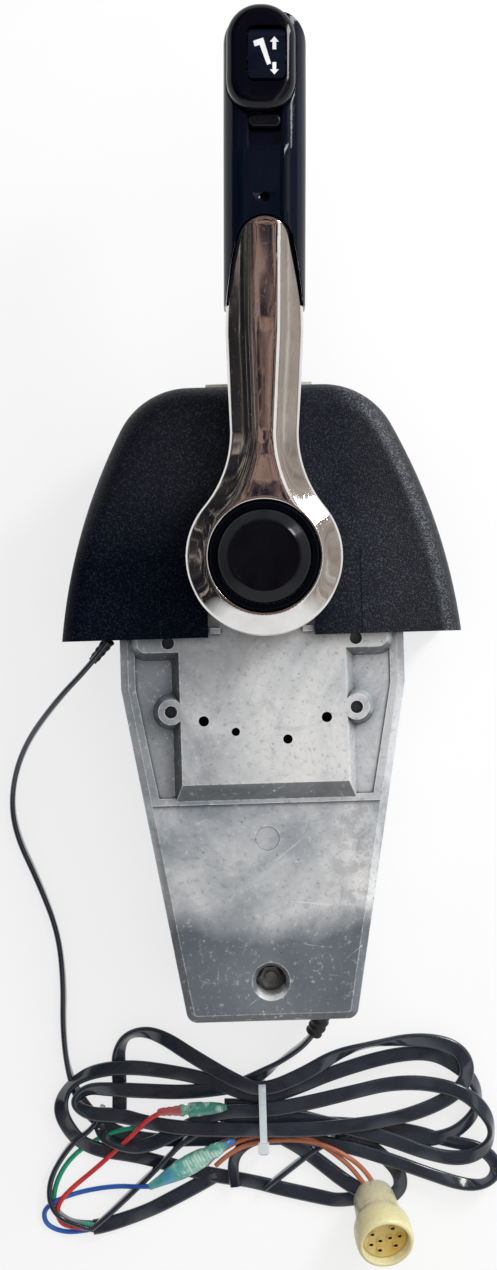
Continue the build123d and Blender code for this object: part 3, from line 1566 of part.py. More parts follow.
with BuildPart() as plug_insert:
    with BuildSketch(plug_plane.offset(plug_tail_length + plug_body_length + plug_collar_length - plug_mouth)):
        Circle(plug_insert_radius)
    extrude(amount=plug_mouth + plug_insert_stand)
    with BuildSketch(
        plug_plane.offset(plug_tail_length + plug_body_length + plug_collar_length + plug_insert_stand)
    ):
        Circle(plug_hole_radius)
        with PolarLocations(plug_hole_circle, plug_hole_count):
            Circle(plug_hole_radius)
    extrude(amount=-plug_mouth / 2, mode=Mode.SUBTRACT)


def bullet(start, end):
    """A bullet connector in its sleeve: the crimp first, then the longer sleeve."""
    axis = Vector(*end) - Vector(*start)
    plane = Plane(origin=start, z_dir=axis)
    with BuildPart() as connector:
        with BuildSketch(plane):
            Circle(bullet_crimp_radius)
        extrude(amount=axis.length * bullet_crimp_share)
        with BuildSketch(plane.offset(axis.length * bullet_crimp_share)):
            Circle(bullet_radius)
        extrude(amount=axis.length * (1 - bullet_crimp_share))
    return connector.part


with BuildPart() as bullet_upper:
    add(bullet(*bullet_upper_ends))

with BuildPart() as bullet_lower:
    add(bullet(*bullet_lower_ends))

pieces = {
    "main_housing": main_housing,
    "rear_cover": rear_cover,
    "rear_gasket": rear_gasket,
    "rear_cover_screws": rear_cover_screws,
    "clamp_stud": clamp_stud,
    "clamp_washer": clamp_washer,
    "clamp_nut": clamp_nut,
    "front_bush": front_bush,
    "rear_bush": rear_bush,
    "sector_pin": sector_pin,
    "detent_roller": detent_roller,
    "detent_leaf": detent_leaf,
    "friction_pad": friction_pad,
    "friction_screw": friction_screw,
    "neutral_switch": neutral_switch,
    "cover_aft": cover_aft,
    "cover_fore": cover_fore,
    "cover_clip": cover_clip,
    "cover_screws": cover_screws,
    "chrome_shroud": chrome_shroud,
    "lever_back_cover": lever_back_cover,
    "lever_arm": lever_arm,
    "lever_screws": lever_screws,
    "grip_rear_shell": grip_rear_shell,
    "grip_front_shell": grip_front_shell,
    "grip_screw": grip_screw,
    "switch_pod": switch_pod,
    "trim_switch": trim_switch,
    "rocker_pin": rocker_pin,
    "trim_rocker": trim_rocker,
    "neutral_trigger": neutral_trigger,
    "lock_rod": lock_rod,
    "trigger_spring": trigger_spring,
    "accelerator_button": accelerator_button,
    "button_ring": button_ring,
    "button_boot": button_boot,
    "lever_shaft": lever_shaft,
    "shaft_circlip": shaft_circlip,
    "thrust_washer": thrust_washer,
    "lever_washer": lever_washer,
    "lever_bolt": lever_bolt,
    "throttle_arm": throttle_arm,
    "drive_gear": drive_gear,
    "shift_sector": shift_sector,
    "lead_grommet": lead_grommet,
    "foot_grommet": foot_grommet,
    "trim_lead": trim_lead,
    "neutral_lead": neutral_lead,
    "harness_hank": harness_hank,
    "tail_loop": tail_loop,
    "cable_tie": cable_tie,
    "plug_shell": plug_shell,
    "plug_insert": plug_insert,
    "bullet_upper": bullet_upper,
    "bullet_lower": bullet_lower,
}
for node, piece in pieces.items():
    piece.part.label = node
    export_step(piece.part, f"parts/{node}.step")
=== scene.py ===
import json
import math

import bmesh
import bpy
import numpy as np
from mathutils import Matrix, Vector, geometry


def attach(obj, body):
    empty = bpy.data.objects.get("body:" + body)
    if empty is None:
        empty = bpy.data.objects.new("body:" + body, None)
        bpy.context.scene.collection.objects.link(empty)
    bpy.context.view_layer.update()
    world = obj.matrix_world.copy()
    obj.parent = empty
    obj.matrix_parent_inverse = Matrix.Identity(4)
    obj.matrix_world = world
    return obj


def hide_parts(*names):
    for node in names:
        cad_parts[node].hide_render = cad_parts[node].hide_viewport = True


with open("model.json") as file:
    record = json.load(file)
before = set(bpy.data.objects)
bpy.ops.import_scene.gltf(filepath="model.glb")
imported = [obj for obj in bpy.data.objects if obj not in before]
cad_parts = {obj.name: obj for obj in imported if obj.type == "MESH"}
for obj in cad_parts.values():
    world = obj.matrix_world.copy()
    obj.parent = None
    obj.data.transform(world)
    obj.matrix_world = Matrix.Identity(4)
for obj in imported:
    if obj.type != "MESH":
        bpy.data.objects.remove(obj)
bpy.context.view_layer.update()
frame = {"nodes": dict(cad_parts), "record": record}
nodes = frame["nodes"]
MM = 0.001
LEAN = math.radians(1.7)
scene = bpy.context.scene


# ======== node helpers
def tree_of(name):
    """A new material's node tree and its Principled shader."""
    mat = bpy.data.materials.new(name)
    mat.use_nodes = True
    tree = mat.node_tree
    tree.nodes.clear()
    out = tree.nodes.new("ShaderNodeOutputMaterial")
    shader = tree.nodes.new("ShaderNodeBsdfPrincipled")
    tree.links.new(shader.outputs[0], out.inputs[0])
    return mat, tree, shader


def feed(tree, socket, value):
    """A socket's input: another node's output, a colour or a number."""
    if isinstance(value, bpy.types.NodeSocket):
        tree.links.new(value, socket)
    elif isinstance(value, tuple) and len(value) == 3 and socket.type == "RGBA":
        socket.default_value = (*value, 1.0)
    else:
        socket.default_value = value


def add_node(tree, kind, inputs=None, **settings):
    """A node with its settings and its inputs."""
    node = tree.nodes.new("ShaderNode" + kind)
    for key, value in settings.items():
        setattr(node, key, value)
    for key, value in (inputs or {}).items():
        feed(tree, node.inputs[key], value)
    return node


def place(tree, scale=(1, 1, 1), turn=0.0):
    """Object coordinates, turned about Z and then stretched."""
    coords = add_node(tree, "TexCoord").outputs["Object"]
    turned = add_node(tree, "VectorRotate", {"Vector": coords, "Angle": turn}, rotation_type="Z_AXIS")
    return add_node(tree, "Mapping", {"Vector": turned.outputs[0], "Scale": scale}).outputs[0]


def axes(tree, vector):
    """The X, Y and Z of a vector."""
    return add_node(tree, "SeparateXYZ", {"Vector": vector}).outputs


def grain(tree, at, scale, detail=4.0, rough=0.55, distortion=0.0):
    """Noise between 0 and 1."""
    inputs = {"Vector": at, "Scale": scale, "Detail": detail, "Roughness": rough, "Distortion": distortion}
    return add_node(tree, "TexNoise", inputs).outputs["Fac"]


def cells(tree, at, scale, randomness=1.0):
    """Distance to the nearest cell point."""
    inputs = {"Vector": at, "Scale": scale, "Randomness": randomness}
    return add_node(tree, "TexVoronoi", inputs).outputs["Distance"]


def spread(tree, value, low, high, to_low=0.0, to_high=1.0):
    """The value's low to high mapped to to_low to to_high, and held outside."""
    inputs = {"Value": value, "From Min": low, "From Max": high, "To Min": to_low, "To Max": to_high}
    return add_node(tree, "MapRange", inputs).outputs["Result"]


def maths(tree, operation, a, b=0.5):
    """One arithmetic step."""
    return add_node(tree, "Math", {0: a, 1: b}, operation=operation).outputs[0]


def times(tree, *values):
    """The product of several values."""
    product = values[0]
    for value in values[1:]:
        product = maths(tree, "MULTIPLY", product, value)
    return product


def tones(tree, value, *stops):
    """A colour ramp of (position, (r, g, b))."""
    node = add_node(tree, "ValToRGB", {"Fac": value})
    ramp = node.color_ramp
    while len(ramp.elements) < len(stops):
        ramp.elements.new(0.5)
    for element, (position, colour) in zip(ramp.elements, stops):
        element.position = position
        element.color = (*colour, 1.0)
    return node.outputs["Color"]


def blend(tree, share, a, b):
    """Colour a where share is 0 and b where it is 1."""
    return add_node(tree, "Mix", {0: share, 6: a, 7: b}, data_type="RGBA").outputs[2]


def layered(tree, colour, *layers):
    """The colour moved toward each layer's tone by its share where its mask is 1, one after another."""
    for mask, share, tone in layers:
        colour = blend(tree, times(tree, mask, share), colour, tone)
    return colour


def relief(tree, shader, *layers):
    """Bumps of (height, strength, distance in metres), one on another."""
    normal = None
    for height, strength, distance in layers:
        inputs = {"Height": height, "Strength": strength, "Distance": distance}
        if normal is not None:
            inputs["Normal"] = normal
        normal = add_node(tree, "Bump", inputs).outputs[0]
    tree.links.new(normal, shader.inputs["Normal"])


def facing_of(tree):
    """The X, Y and Z of the way that a surface faces on its object."""
    return axes(tree, add_node(tree, "TexCoord").outputs["Normal"])


def set_inputs(tree, shader, **values):
    """Inputs of a shader by name, with _ for a space."""
    for key, value in values.items():
        feed(tree, shader.inputs[key.replace("_", " ")], value)


# ======== camera, light and floor
# the camera looks straight down, and is turned as far as the lever leans in the photo
camera_place = (-0.007065, -0.030411, 0.9)
camera_lens = 57.06
sensor_width = 36.0
camera_data = bpy.data.cameras.new("camera")
camera_data.lens = camera_lens
camera_data.sensor_width = sensor_width
camera_data.clip_start = 0.01
camera = bpy.data.objects.new("camera", camera_data)
camera.location = camera_place
camera.rotation_euler = (0.0, 0.0, -LEAN)
scene.collection.objects.link(camera)
scene.camera = camera
scene.view_settings.view_transform = "Standard"


def area_light(name, location, target, size, power, glossy=True):
    """A soft lamp that points at a place."""
    data = bpy.data.lights.new(name, "AREA")
    data.shape = "RECTANGLE"
    data.size, data.size_y = size
    data.energy = power
    lamp = bpy.data.objects.new(name, data)
    lamp.location = location
    lamp.rotation_euler = (Vector(target) - Vector(location)).to_track_quat("-Z", "Y").to_euler()
    lamp.visible_glossy = glossy
    scene.collection.objects.link(lamp)


area_light("key", (0.62, 0.5, 0.62), (0.0, -0.02, 0.08), (0.2, 0.6), 6.0)
area_light("top", (0.1, 0.1, 1.2), (0.0, -0.05, 0.08), (0.8, 0.8), 3.0, glossy=False)


def studio():
    """A soft room: what shiny surfaces reflect has a dark left, a warm right and a bright foot."""
    world = bpy.data.worlds.new("studio")
    world.use_nodes = True
    tree = world.node_tree
    tree.nodes.clear()
    direction = add_node(tree, "TexCoord").outputs["Generated"]
    x, y, z = axes(tree, direction)[:3]
    mottle = grain(tree, direction, 16.0, 4.0, 0.62, 0.8)
    stretched = add_node(tree, "Mapping", {"Vector": direction, "Scale": (34.0, 3.0, 3.0)}).outputs[0]
    streak = grain(tree, stretched, 1.0, 3.0)
    overhead = tones(
        tree,
        mottle,
        (0.36, (0.010, 0.014, 0.03)), (0.44, (0.035, 0.03, 0.035)), (0.50, (0.20, 0.12, 0.10)),
        (0.58, (0.34, 0.22, 0.18)), (0.70, (0.24, 0.21, 0.20)),
    )
    dark_side = tones(
        tree,
        streak,
        (0.40, (0.012, 0.012, 0.014)), (0.56, (0.03, 0.028, 0.03)), (0.64, (0.4, 0.34, 0.28)),
    )
    warm_side = tones(
        tree,
        streak,
        (0.30, (0.26, 0.22, 0.19)), (0.55, (0.42, 0.37, 0.33)), (0.7, (0.6, 0.56, 0.52)),
    )
    room = blend(tree, spread(tree, x, -0.16, -0.26), overhead, dark_side)
    room = blend(tree, spread(tree, x, 0.52, 0.60), room, warm_side)
    strip = times(tree, spread(tree, x, 0.27, 0.31), spread(tree, x, 0.56, 0.50))
    strip = times(tree, strip, spread(tree, y, 0.36, 0.16))
    room = blend(tree, strip, room, (1.0, 0.99, 0.97))
    room = blend(tree, spread(tree, y, -0.5, -0.72), room, (0.92, 0.92, 0.92))
    room = blend(tree, spread(tree, z, 0.34, 0.2), room, (0.95, 0.95, 0.95))
    shiny = add_node(tree, "Background", {"Color": room, "Strength": 1.0})
    lean = maths(tree, "ADD", times(tree, x, 0.34), times(tree, y, 0.2))
    level = spread(tree, lean, -0.35, 0.35, 0.2, 0.82)
    soft = add_node(tree, "Background", {"Color": (1, 1, 1, 1), "Strength": level})
    plain = add_node(tree, "Background", {"Color": (1, 1, 1, 1), "Strength": 1.0})
    rays = add_node(tree, "LightPath").outputs
    lit = add_node(tree, "MixShader", {0: rays["Is Glossy Ray"], 1: soft.outputs[0], 2: shiny.outputs[0]})
    seen = maths(tree, "MAXIMUM", rays["Is Camera Ray"], rays["Is Transmission Ray"])
    all_rays = add_node(tree, "MixShader", {0: seen, 1: lit.outputs[0], 2: plain.outputs[0]})
    add_node(tree, "OutputWorld", {"Surface": all_rays.outputs[0]})
    scene.world = world


def pale_floor():
    """The floor: pale to the camera and to shiny surfaces, and it keeps the shadow."""
    half = 3.0
    glow_share = 0.72
    mesh = bpy.data.meshes.new("floor")
    corners = [(-half, -half, 0), (half, -half, 0), (half, half, 0), (-half, half, 0)]
    mesh.from_pydata(corners, [], [(0, 1, 2, 3)])
    floor = bpy.data.objects.new("floor", mesh)
    scene.collection.objects.link(floor)
    mat, tree, shader = tree_of("floor")
    paper = spread(tree, grain(tree, place(tree), 30.0, 3.0), 0.3, 0.7, 0.93, 0.95)
    set_inputs(tree, shader, Base_Color=paper, Roughness=0.9, Specular_IOR_Level=0.0)
    glow = add_node(tree, "Emission", {"Color": (1, 1, 1, 1), "Strength": 1.0})
    rays = add_node(tree, "LightPath").outputs
    seen = maths(tree, "MAXIMUM", rays["Is Camera Ray"], rays["Is Glossy Ray"])
    glowing = times(tree, seen, glow_share)
    mixed = add_node(tree, "MixShader", {0: glowing, 1: shader.outputs[0], 2: glow.outputs[0]})
    out = [node for node in tree.nodes if node.type == "OUTPUT_MATERIAL"][0]
    tree.links.new(mixed.outputs[0], out.inputs[0])
    mesh.materials.append(mat)


studio()
pale_floor()


# ======== materials
def cast_alloy():
    """Bare die-cast metal: smeared bright skin, darker low down, fine pits, scratches and tooling marks.
    Painted shade darkens its creases, the walls that face the foot and the left, and the ledge left of the
    pad; painted light brightens the recess wall that faces the lever, and, with wear, its edges.

    Its x, y and z are the frame's metres, so each zone below is a place on the casting.
    """
    mat, tree, shader = tree_of("cast_alloy")
    at = place(tree)
    x, y, z = axes(tree, at)[:3]
    smear = grain(tree, place(tree, (1.0, 0.5, 1.0), 0.35), 26.0, 5.0, 0.6, 1.2)
    cloud = grain(tree, at, 13.0, 3.0, 0.5, 0.4)
    fine = grain(tree, at, 420.0, 5.0, 0.65)
    tone = maths(tree, "ADD", times(tree, smear, 0.55), times(tree, cloud, 0.45))
    skin = tones(
        tree,
        tone,
        (0.36, (0.38, 0.40, 0.42)), (0.46, (0.62, 0.64, 0.65)), (0.54, (0.80, 0.81, 0.81)),
        (0.66, (0.95, 0.95, 0.94)),
    )
    plate = tones(
        tree,
        tone,
        (0.36, (0.20, 0.235, 0.27)), (0.46, (0.42, 0.45, 0.48)), (0.55, (0.62, 0.64, 0.66)),
        (0.66, (0.80, 0.81, 0.82)),
    )
    # the machined pad is brightest, and the plate below it darkens toward its foot
    on_pad = spread(tree, z, 0.0905, 0.0925)
    plate = blend(tree, times(tree, spread(tree, y, -0.112, -0.122), 0.6), plate, skin)
    drift = grain(tree, at, 24.0, 5.0, 0.45, 0.1)
    foot_line = maths(tree, "ADD", y, spread(tree, drift, 0.3, 0.7, -0.008, 0.008))
    foot = times(tree, spread(tree, foot_line, -0.141, -0.156), 0.92)
    foot_tone = blend(tree, spread(tree, drift, 0.35, 0.65), (0.085, 0.11, 0.14), (0.17, 0.20, 0.23))
    plate = blend(tree, foot, plate, foot_tone)
    swirl = times(tree, spread(tree, y, -0.102, -0.108), spread(tree, y, -0.122, -0.114))
    swirl = times(tree, swirl, spread(tree, x, -0.026, -0.012), spread(tree, x, 0.02, 0.006))
    swirl_share = spread(tree, drift, 0.4, 0.6, 0.1, 0.7)
    plate = layered(tree, plate, (swirl, swirl_share, (0.20, 0.24, 0.28)))
    # painted shade: the ledge left of the pad is darkened, as in the pad's shadow
    shaded_left_ledge = times(tree, spread(tree, x, -0.030, -0.040), spread(tree, y, -0.100, -0.094))
    # crumbled skin on the right of the plate
    crumble = spread(tree, grain(tree, at, 210.0, 5.0, 0.7), 0.47, 0.56)
    crumble = times(tree, crumble, spread(tree, x, 0.012, 0.034), spread(tree, y, -0.09, -0.10))
    # the casting is darker below the level of its upper face
    wall = spread(tree, z, 0.080, 0.070)
    # painted shade in the creases of the upper face, and on the steep walls that face the foot and the
    # left, away from the light
    facing = facing_of(tree)
    high = spread(tree, z, 0.072, 0.076)
    ramp = times(tree, spread(tree, facing["Y"], -0.25, -0.5), high)
    left_wall_shade = times(tree, spread(tree, facing["X"], -0.5, -0.8), high)
    left_wall_shade = times(tree, left_wall_shade, spread(tree, x, -0.048, -0.044), spread(tree, x, -0.020, -0.026))
    ramp_shade_tone = blend(tree, smear, (0.05, 0.055, 0.06), (0.17, 0.18, 0.19))
    # painted shade: darker where the casting is closed in, in its creases and corners
    open_sky = add_node(tree, "AmbientOcclusion", {"Distance": 0.007}, samples=12).outputs["AO"]
    open_near = add_node(tree, "AmbientOcclusion", {"Distance": 0.0022}, samples=12).outputs["AO"]
    wide_crease_shade = times(tree, spread(tree, open_sky, 0.9, 0.45), 0.75)
    crease_shade = maths(tree, "MAXIMUM", wide_crease_shade, spread(tree, open_near, 0.86, 0.5))
    # painted light: the wall of the nut's recess that faces the lever is made bright, as lit
    lit_recess_wall = times(tree, spread(tree, y, -0.172, -0.174), spread(tree, facing["Y"], 0.35, 0.6))
    lit_recess_wall = times(tree, lit_recess_wall, spread(tree, maths(tree, "ABSOLUTE", x), 0.016, 0.013))
    # bright metal along the edges and the hole rims: partly wear, partly a painted highlight on their
    # rounding
    rounded = add_node(tree, "Bevel", {"Radius": 0.0007}, samples=6).outputs["Normal"]
    sharp = add_node(tree, "NewGeometry").outputs["Normal"]
    along = add_node(tree, "VectorMath", {0: rounded, 1: sharp}, operation="DOT_PRODUCT").outputs["Value"]
    edge = times(tree, spread(tree, along, 0.992, 0.95), spread(tree, open_near, 0.7, 0.9))
    edge = times(tree, edge, spread(tree, fine, 0.35, 0.5))
    # what lies all over it: specks, stains, pits and scratches
    speck = spread(tree, fine, 0.58, 0.72)
    dull = spread(tree, fine, 0.44, 0.32)
    stain = spread(tree, grain(tree, at, 75.0, 5.0, 0.7, 1.5), 0.46, 0.34)
    pit = spread(tree, cells(tree, at, 260.0), 0.05, 0.1)
    bare = spread(tree, grain(tree, at, 120.0, 2.0), 0.57, 0.61)
    pits = maths(tree, "MAXIMUM", pit, maths(tree, "SUBTRACT", 1.0, bare))
    sunk = maths(tree, "SUBTRACT", 1.0, pits)
    rising = spread(tree, grain(tree, place(tree, (500, 22, 60), 0.9), 1.0, 4.0, 0.7), 0.66, 0.72)
    level_marks = spread(tree, grain(tree, place(tree, (18, 560, 60), 0.12), 1.0, 4.0, 0.7), 0.67, 0.73)
    scratch = times(tree, maths(tree, "MAXIMUM", rising, level_marks), spread(tree, cloud, 0.42, 0.55))
    chips = spread(tree, grain(tree, at, 330.0, 4.0, 0.75), 0.62, 0.68)
    chips = times(tree, chips, spread(tree, smear, 0.45, 0.6))
    scratch = maths(tree, "MAXIMUM", scratch, chips)
    # among these layers, the left ledge, the ramp, the left walls and the creases are painted shade, and
    # the recess wall and the edges are painted light, the edges partly wear
    colour = layered(
        tree,
        blend(tree, on_pad, plate, skin),
        (shaded_left_ledge, 0.6, (0.19, 0.22, 0.25)),
        (crumble, 0.4, (0.16, 0.17, 0.18)),
        (wall, 0.35, (0.34, 0.36, 0.38)),
        (ramp, 0.85, ramp_shade_tone),
        (left_wall_shade, 0.8, (0.045, 0.047, 0.05)),
        (crease_shade, 0.85, (0.03, 0.032, 0.036)),
        (lit_recess_wall, 0.85, (0.93, 0.93, 0.92)),
        (edge, 0.7, (0.92, 0.92, 0.91)),
        (speck, 0.4, (0.93, 0.93, 0.93)),
        (dull, 0.4, (0.17, 0.18, 0.19)),
        (stain, 0.2, (0.20, 0.225, 0.25)),
        (sunk, 0.8, (0.05, 0.052, 0.055)),
        (scratch, 0.6, (0.95, 0.95, 0.94)),
    )
    rough = spread(tree, smear, 0.35, 0.65, 0.52, 0.36)
    set_inputs(tree, shader, Base_Color=colour, Metallic=0.35, Roughness=rough)
    bumps = ((smear, 0.35, 0.0012), (fine, 0.45, 0.0002), (pits, 0.6, 0.0003), (scratch, 0.25, 0.0001))
    relief(tree, shader, *bumps)
    return mat


def chrome_plate():
    """Bright plating: long waves from polishing, hair scratches and faint clouds."""
    mat, tree, shader = tree_of("chrome_plate")
    hairs = grain(tree, place(tree, (900, 60, 900), LEAN + 0.15), 1.0, 4.0, 0.75)
    cross = grain(tree, place(tree, (120, 700, 120), 0.5), 1.0, 4.0, 0.75)
    clouds = grain(tree, place(tree), 70.0, 4.0)
    waves = grain(tree, place(tree, (70, 16, 60), LEAN), 1.0, 2.0, 0.4)
    scuffs = maths(tree, "MAXIMUM", spread(tree, hairs, 0.6, 0.72), spread(tree, cross, 0.66, 0.74))
    rough = maths(tree, "ADD", times(tree, scuffs, 0.22), spread(tree, clouds, 0.4, 0.7, 0.03, 0.09))
    colour = tones(tree, clouds, (0.3, (0.70, 0.69, 0.68)), (0.7, (0.82, 0.81, 0.80)))
    set_inputs(tree, shader, Base_Color=colour, Metallic=1.0, Roughness=rough)
    relief(tree, shader, (waves, 0.35, 0.0004), (scuffs, 0.12, 0.00005), (clouds, 0.06, 0.0002))
    return mat


def leather_black():
    """The cover's moulded black grain, with tiny bright tips, partly wear and partly painted glints, and
    painted light toward its right, its top and on its right shoulder.
    """
    mat, tree, shader = tree_of("cover_plastic")
    at = place(tree)
    fine = cells(tree, at, 1500.0)
    coarse = grain(tree, at, 620.0, 3.0, 0.6)
    cloud = grain(tree, at, 24.0, 4.0)
    # bright grain tips: partly wear and partly painted glints, stronger on the lit right
    tip_wear_and_glint = spread(tree, grain(tree, at, 1250.0, 2.0), 0.52, 0.66)
    tip_wear_and_glint = times(tree, tip_wear_and_glint, spread(tree, cloud, 0.3, 0.6, 0.35, 1.0))
    x, y = axes(tree, at)[:2]
    # painted light: the cover is paler toward its right side and its top, where the light falls, by
    # blending toward a lit copy of its dark tone
    lit_right_and_top = maths(tree, "MAXIMUM", spread(tree, x, 0.012, 0.05), spread(tree, y, 0.0, 0.03, 0.0, 0.5))
    dark = tones(tree, cloud, (0.3, (0.0003, 0.0016, 0.0056)), (0.75, (0.0010, 0.0032, 0.0090)))
    lit_tone = tones(tree, cloud, (0.3, (0.0030, 0.0050, 0.0100)), (0.75, (0.0080, 0.0110, 0.0175)))
    colour = blend(tree, lit_right_and_top, dark, lit_tone)
    tip_wear_and_glint = times(tree, tip_wear_and_glint, spread(tree, lit_right_and_top, 0.0, 1.0, 0.25, 0.9))
    colour = blend(tree, tip_wear_and_glint, colour, (0.045, 0.053, 0.068))
    # painted highlight: the rounded shoulder at the right is made lighter where it faces the light,
    # speckled by the grain
    leaning = facing_of(tree)["X"]
    shoulder = times(tree, spread(tree, leaning, 0.10, 0.26), spread(tree, leaning, 0.75, 0.5))
    shoulder_highlight = times(tree, shoulder, spread(tree, grain(tree, at, 1100.0, 3.0, 0.7), 0.5, 0.62))
    colour = layered(tree, colour, (shoulder_highlight, 0.8, (0.13, 0.145, 0.165)))
    rough = spread(tree, coarse, 0.3, 0.7, 0.36, 0.55)
    shine = spread(tree, lit_right_and_top, 0.0, 1.0, 0.04, 0.36)
    set_inputs(tree, shader, Base_Color=colour, Roughness=rough, Specular_IOR_Level=shine)
    relief(tree, shader, (fine, 0.6, 0.0002), (coarse, 0.5, 0.00025))
    return mat


def plastic(name, dark, light, rough, fine_scale=1200.0, bump=0.1, wear=80.0, **shine):
    """A moulded or painted surface: clouded colour, uneven gloss and a fine skin."""
    mat, tree, shader = tree_of(name)
    at = place(tree)
    cloud = grain(tree, at, wear, 4.0)
    fine = grain(tree, at, fine_scale, 3.0)
    colour = tones(tree, cloud, (0.3, dark), (0.72, light))
    gloss = spread(tree, cloud, 0.3, 0.7, rough * 0.75, rough * 1.3)
    set_inputs(tree, shader, Base_Color=colour, Roughness=gloss, **shine)
    relief(tree, shader, (fine, bump, 0.0001))
    return mat


def metal(name, dark, light, rough):
    """A plain turned or plated metal."""
    mat, tree, shader = tree_of(name)
    at = place(tree)
    cloud = grain(tree, at, 200.0, 4.0)
    fine = grain(tree, at, 1600.0, 3.0)
    gloss = spread(tree, fine, 0.3, 0.7, rough * 0.75, rough * 1.3)
    colour = tones(tree, cloud, (0.3, dark), (0.7, light))
    set_inputs(tree, shader, Base_Color=colour, Metallic=1.0, Roughness=gloss)
    relief(tree, shader, (fine, 0.2, 0.0001))
    return mat


def gloss_black(name, dark, light, rough):
    """Polished navy-black moulding with faint hair scratches and finger smears."""
    mat, tree, shader = tree_of(name)
    smear = grain(tree, place(tree, (1, 0.4, 1), 0.3), 55.0, 4.0, 0.6, 1.0)
    hairs = spread(tree, grain(tree, place(tree, (700, 60, 700), 0.4), 1.0, 3.0, 0.7), 0.64, 0.72)
    colour = tones(tree, smear, (0.3, dark), (0.72, light))
    gloss = spread(tree, smear, 0.35, 0.7, rough * 0.7, rough * 1.4)
    gloss = maths(tree, "ADD", gloss, times(tree, hairs, 0.12))
    set_inputs(tree, shader, Base_Color=colour, Roughness=gloss, Specular_IOR_Level=0.28)
    # a soft moulded ridge runs down the right of the grip
    ridge_across = 0.0074
    ridge_half = 0.0016
    x, y = axes(tree, place(tree))[:2]
    across = maths(tree, "SUBTRACT", times(tree, x, math.cos(LEAN)), times(tree, y, math.sin(LEAN)))
    off_ridge = maths(tree, "ABSOLUTE", maths(tree, "SUBTRACT", across, ridge_across))
    ridge = spread(tree, off_ridge, ridge_half, 0.0)
    ridge = times(tree, ridge, spread(tree, y, 0.122, 0.130), spread(tree, y, 0.156, 0.150))
    relief(tree, shader, (smear, 0.08, 0.0004), (hairs, 0.08, 0.00005), (ridge, 1.0, 0.0009))
    return mat


# dark tone, light tone and roughness, then the grain's scale, its bump and the clouds' scale
plastics = {
    "rear_paint": ((0.02, 0.02, 0.022), (0.035, 0.035, 0.037), 0.45, 900.0, 0.3),
    "pale_clip": ((0.5, 0.48, 0.42), (0.7, 0.68, 0.62), 0.5),
    "rocker_plastic": ((0.0008, 0.003, 0.010), (0.002, 0.0055, 0.016), 0.34, 1500.0, 0.2),
    "ring_rubber": ((0.0002, 0.0006, 0.002), (0.0006, 0.0012, 0.0035), 0.4),
    "gasket_rubber": ((0.006, 0.006, 0.007), (0.012, 0.012, 0.013), 0.55),
    "bush_plastic": ((0.5, 0.49, 0.45), (0.66, 0.65, 0.6), 0.4),
    "switch_plastic": ((0.02, 0.02, 0.02), (0.03, 0.03, 0.03), 0.4),
    "inner_plastic": ((0.015, 0.015, 0.015), (0.022, 0.022, 0.022), 0.5),
    "lead_sleeve": ((0.012, 0.018, 0.030), (0.024, 0.034, 0.050), 0.22, 500.0, 0.15),
    "tie_nylon": ((0.72, 0.73, 0.74), (0.86, 0.87, 0.88), 0.3),
    "plug_ivory": ((0.72, 0.66, 0.42), (0.84, 0.79, 0.58), 0.3),
    "plug_amber": ((0.66, 0.42, 0.09), (0.80, 0.58, 0.18), 0.28),
    "bullet_sleeve": ((0.06, 0.30, 0.21), (0.22, 0.55, 0.43), 0.14),
    "wire_green": ((0.008, 0.30, 0.16), (0.02, 0.42, 0.25), 0.25, 800.0, 0.08),
    "wire_red": ((0.58, 0.02, 0.025), (0.75, 0.05, 0.05), 0.25, 800.0, 0.08),
    "wire_blue": ((0.012, 0.09, 0.42), (0.03, 0.15, 0.55), 0.25, 800.0, 0.08),
    "wire_brown": ((0.36, 0.10, 0.045), (0.52, 0.18, 0.09), 0.3, 800.0, 0.08),
    "paint_white": ((0.72, 0.74, 0.76), (0.9, 0.91, 0.92), 0.4, 900.0, 0.15, 300.0),
}
# other inputs that some of their shaders have
shines = {
    "rocker_plastic": {"Specular_IOR_Level": 0.12},
    "ring_rubber": {"Specular_IOR_Level": 0.04},
    "lead_sleeve": {"Coat_Weight": 0.6},
    "tie_nylon": {"Subsurface_Weight": 0.2},
    "plug_ivory": {"Subsurface_Weight": 0.15},
    "plug_amber": {"Subsurface_Weight": 0.1},
}
metals = {
    "inner_alloy": ((0.25, 0.26, 0.27), (0.42, 0.43, 0.44), 0.5),
    "zinc_steel": ((0.20, 0.21, 0.22), (0.42, 0.44, 0.46), 0.5),
}
glossy_blacks = {
    "grip_plastic": ((0.0003, 0.0022, 0.0080), (0.0010, 0.0045, 0.0135), 0.10),
    "pod_plastic": ((0.0003, 0.0008, 0.0032), (0.0008, 0.0018, 0.0060), 0.08),
    "trigger_plastic": ((0.0015, 0.002, 0.005), (0.004, 0.005, 0.009), 0.2),
    "button_plastic": ((0.0004, 0.001, 0.003), (0.001, 0.0022, 0.0055), 0.2),
}
looks = {
    "cast_alloy": cast_alloy(),
    "chrome_plate": chrome_plate(),
    "cover_plastic": leather_black(),
}
for make, table in ((plastic, plastics), (metal, metals), (gloss_black, glossy_blacks)):
    for name, values in table.items():
        looks[name] = make(name, *values, **shines.get(name, {}))
# the screw of the grip is given a near-black metal, whatever the record's slot for it
dark_screw = metal("dark_screw", (0.008, 0.008, 0.009), (0.02, 0.02, 0.022), 0.5)
slot_of = {part["node"]: part["material_slot"] for part in frame["record"]["subparts"]}
for name, part in nodes.items():
    part.data.materials.clear()
    part.data.materials.append(dark_screw if name == "grip_screw" else looks[slot_of[name]])


# ======== rounded edges of the solids
sharp_angle = 28.0


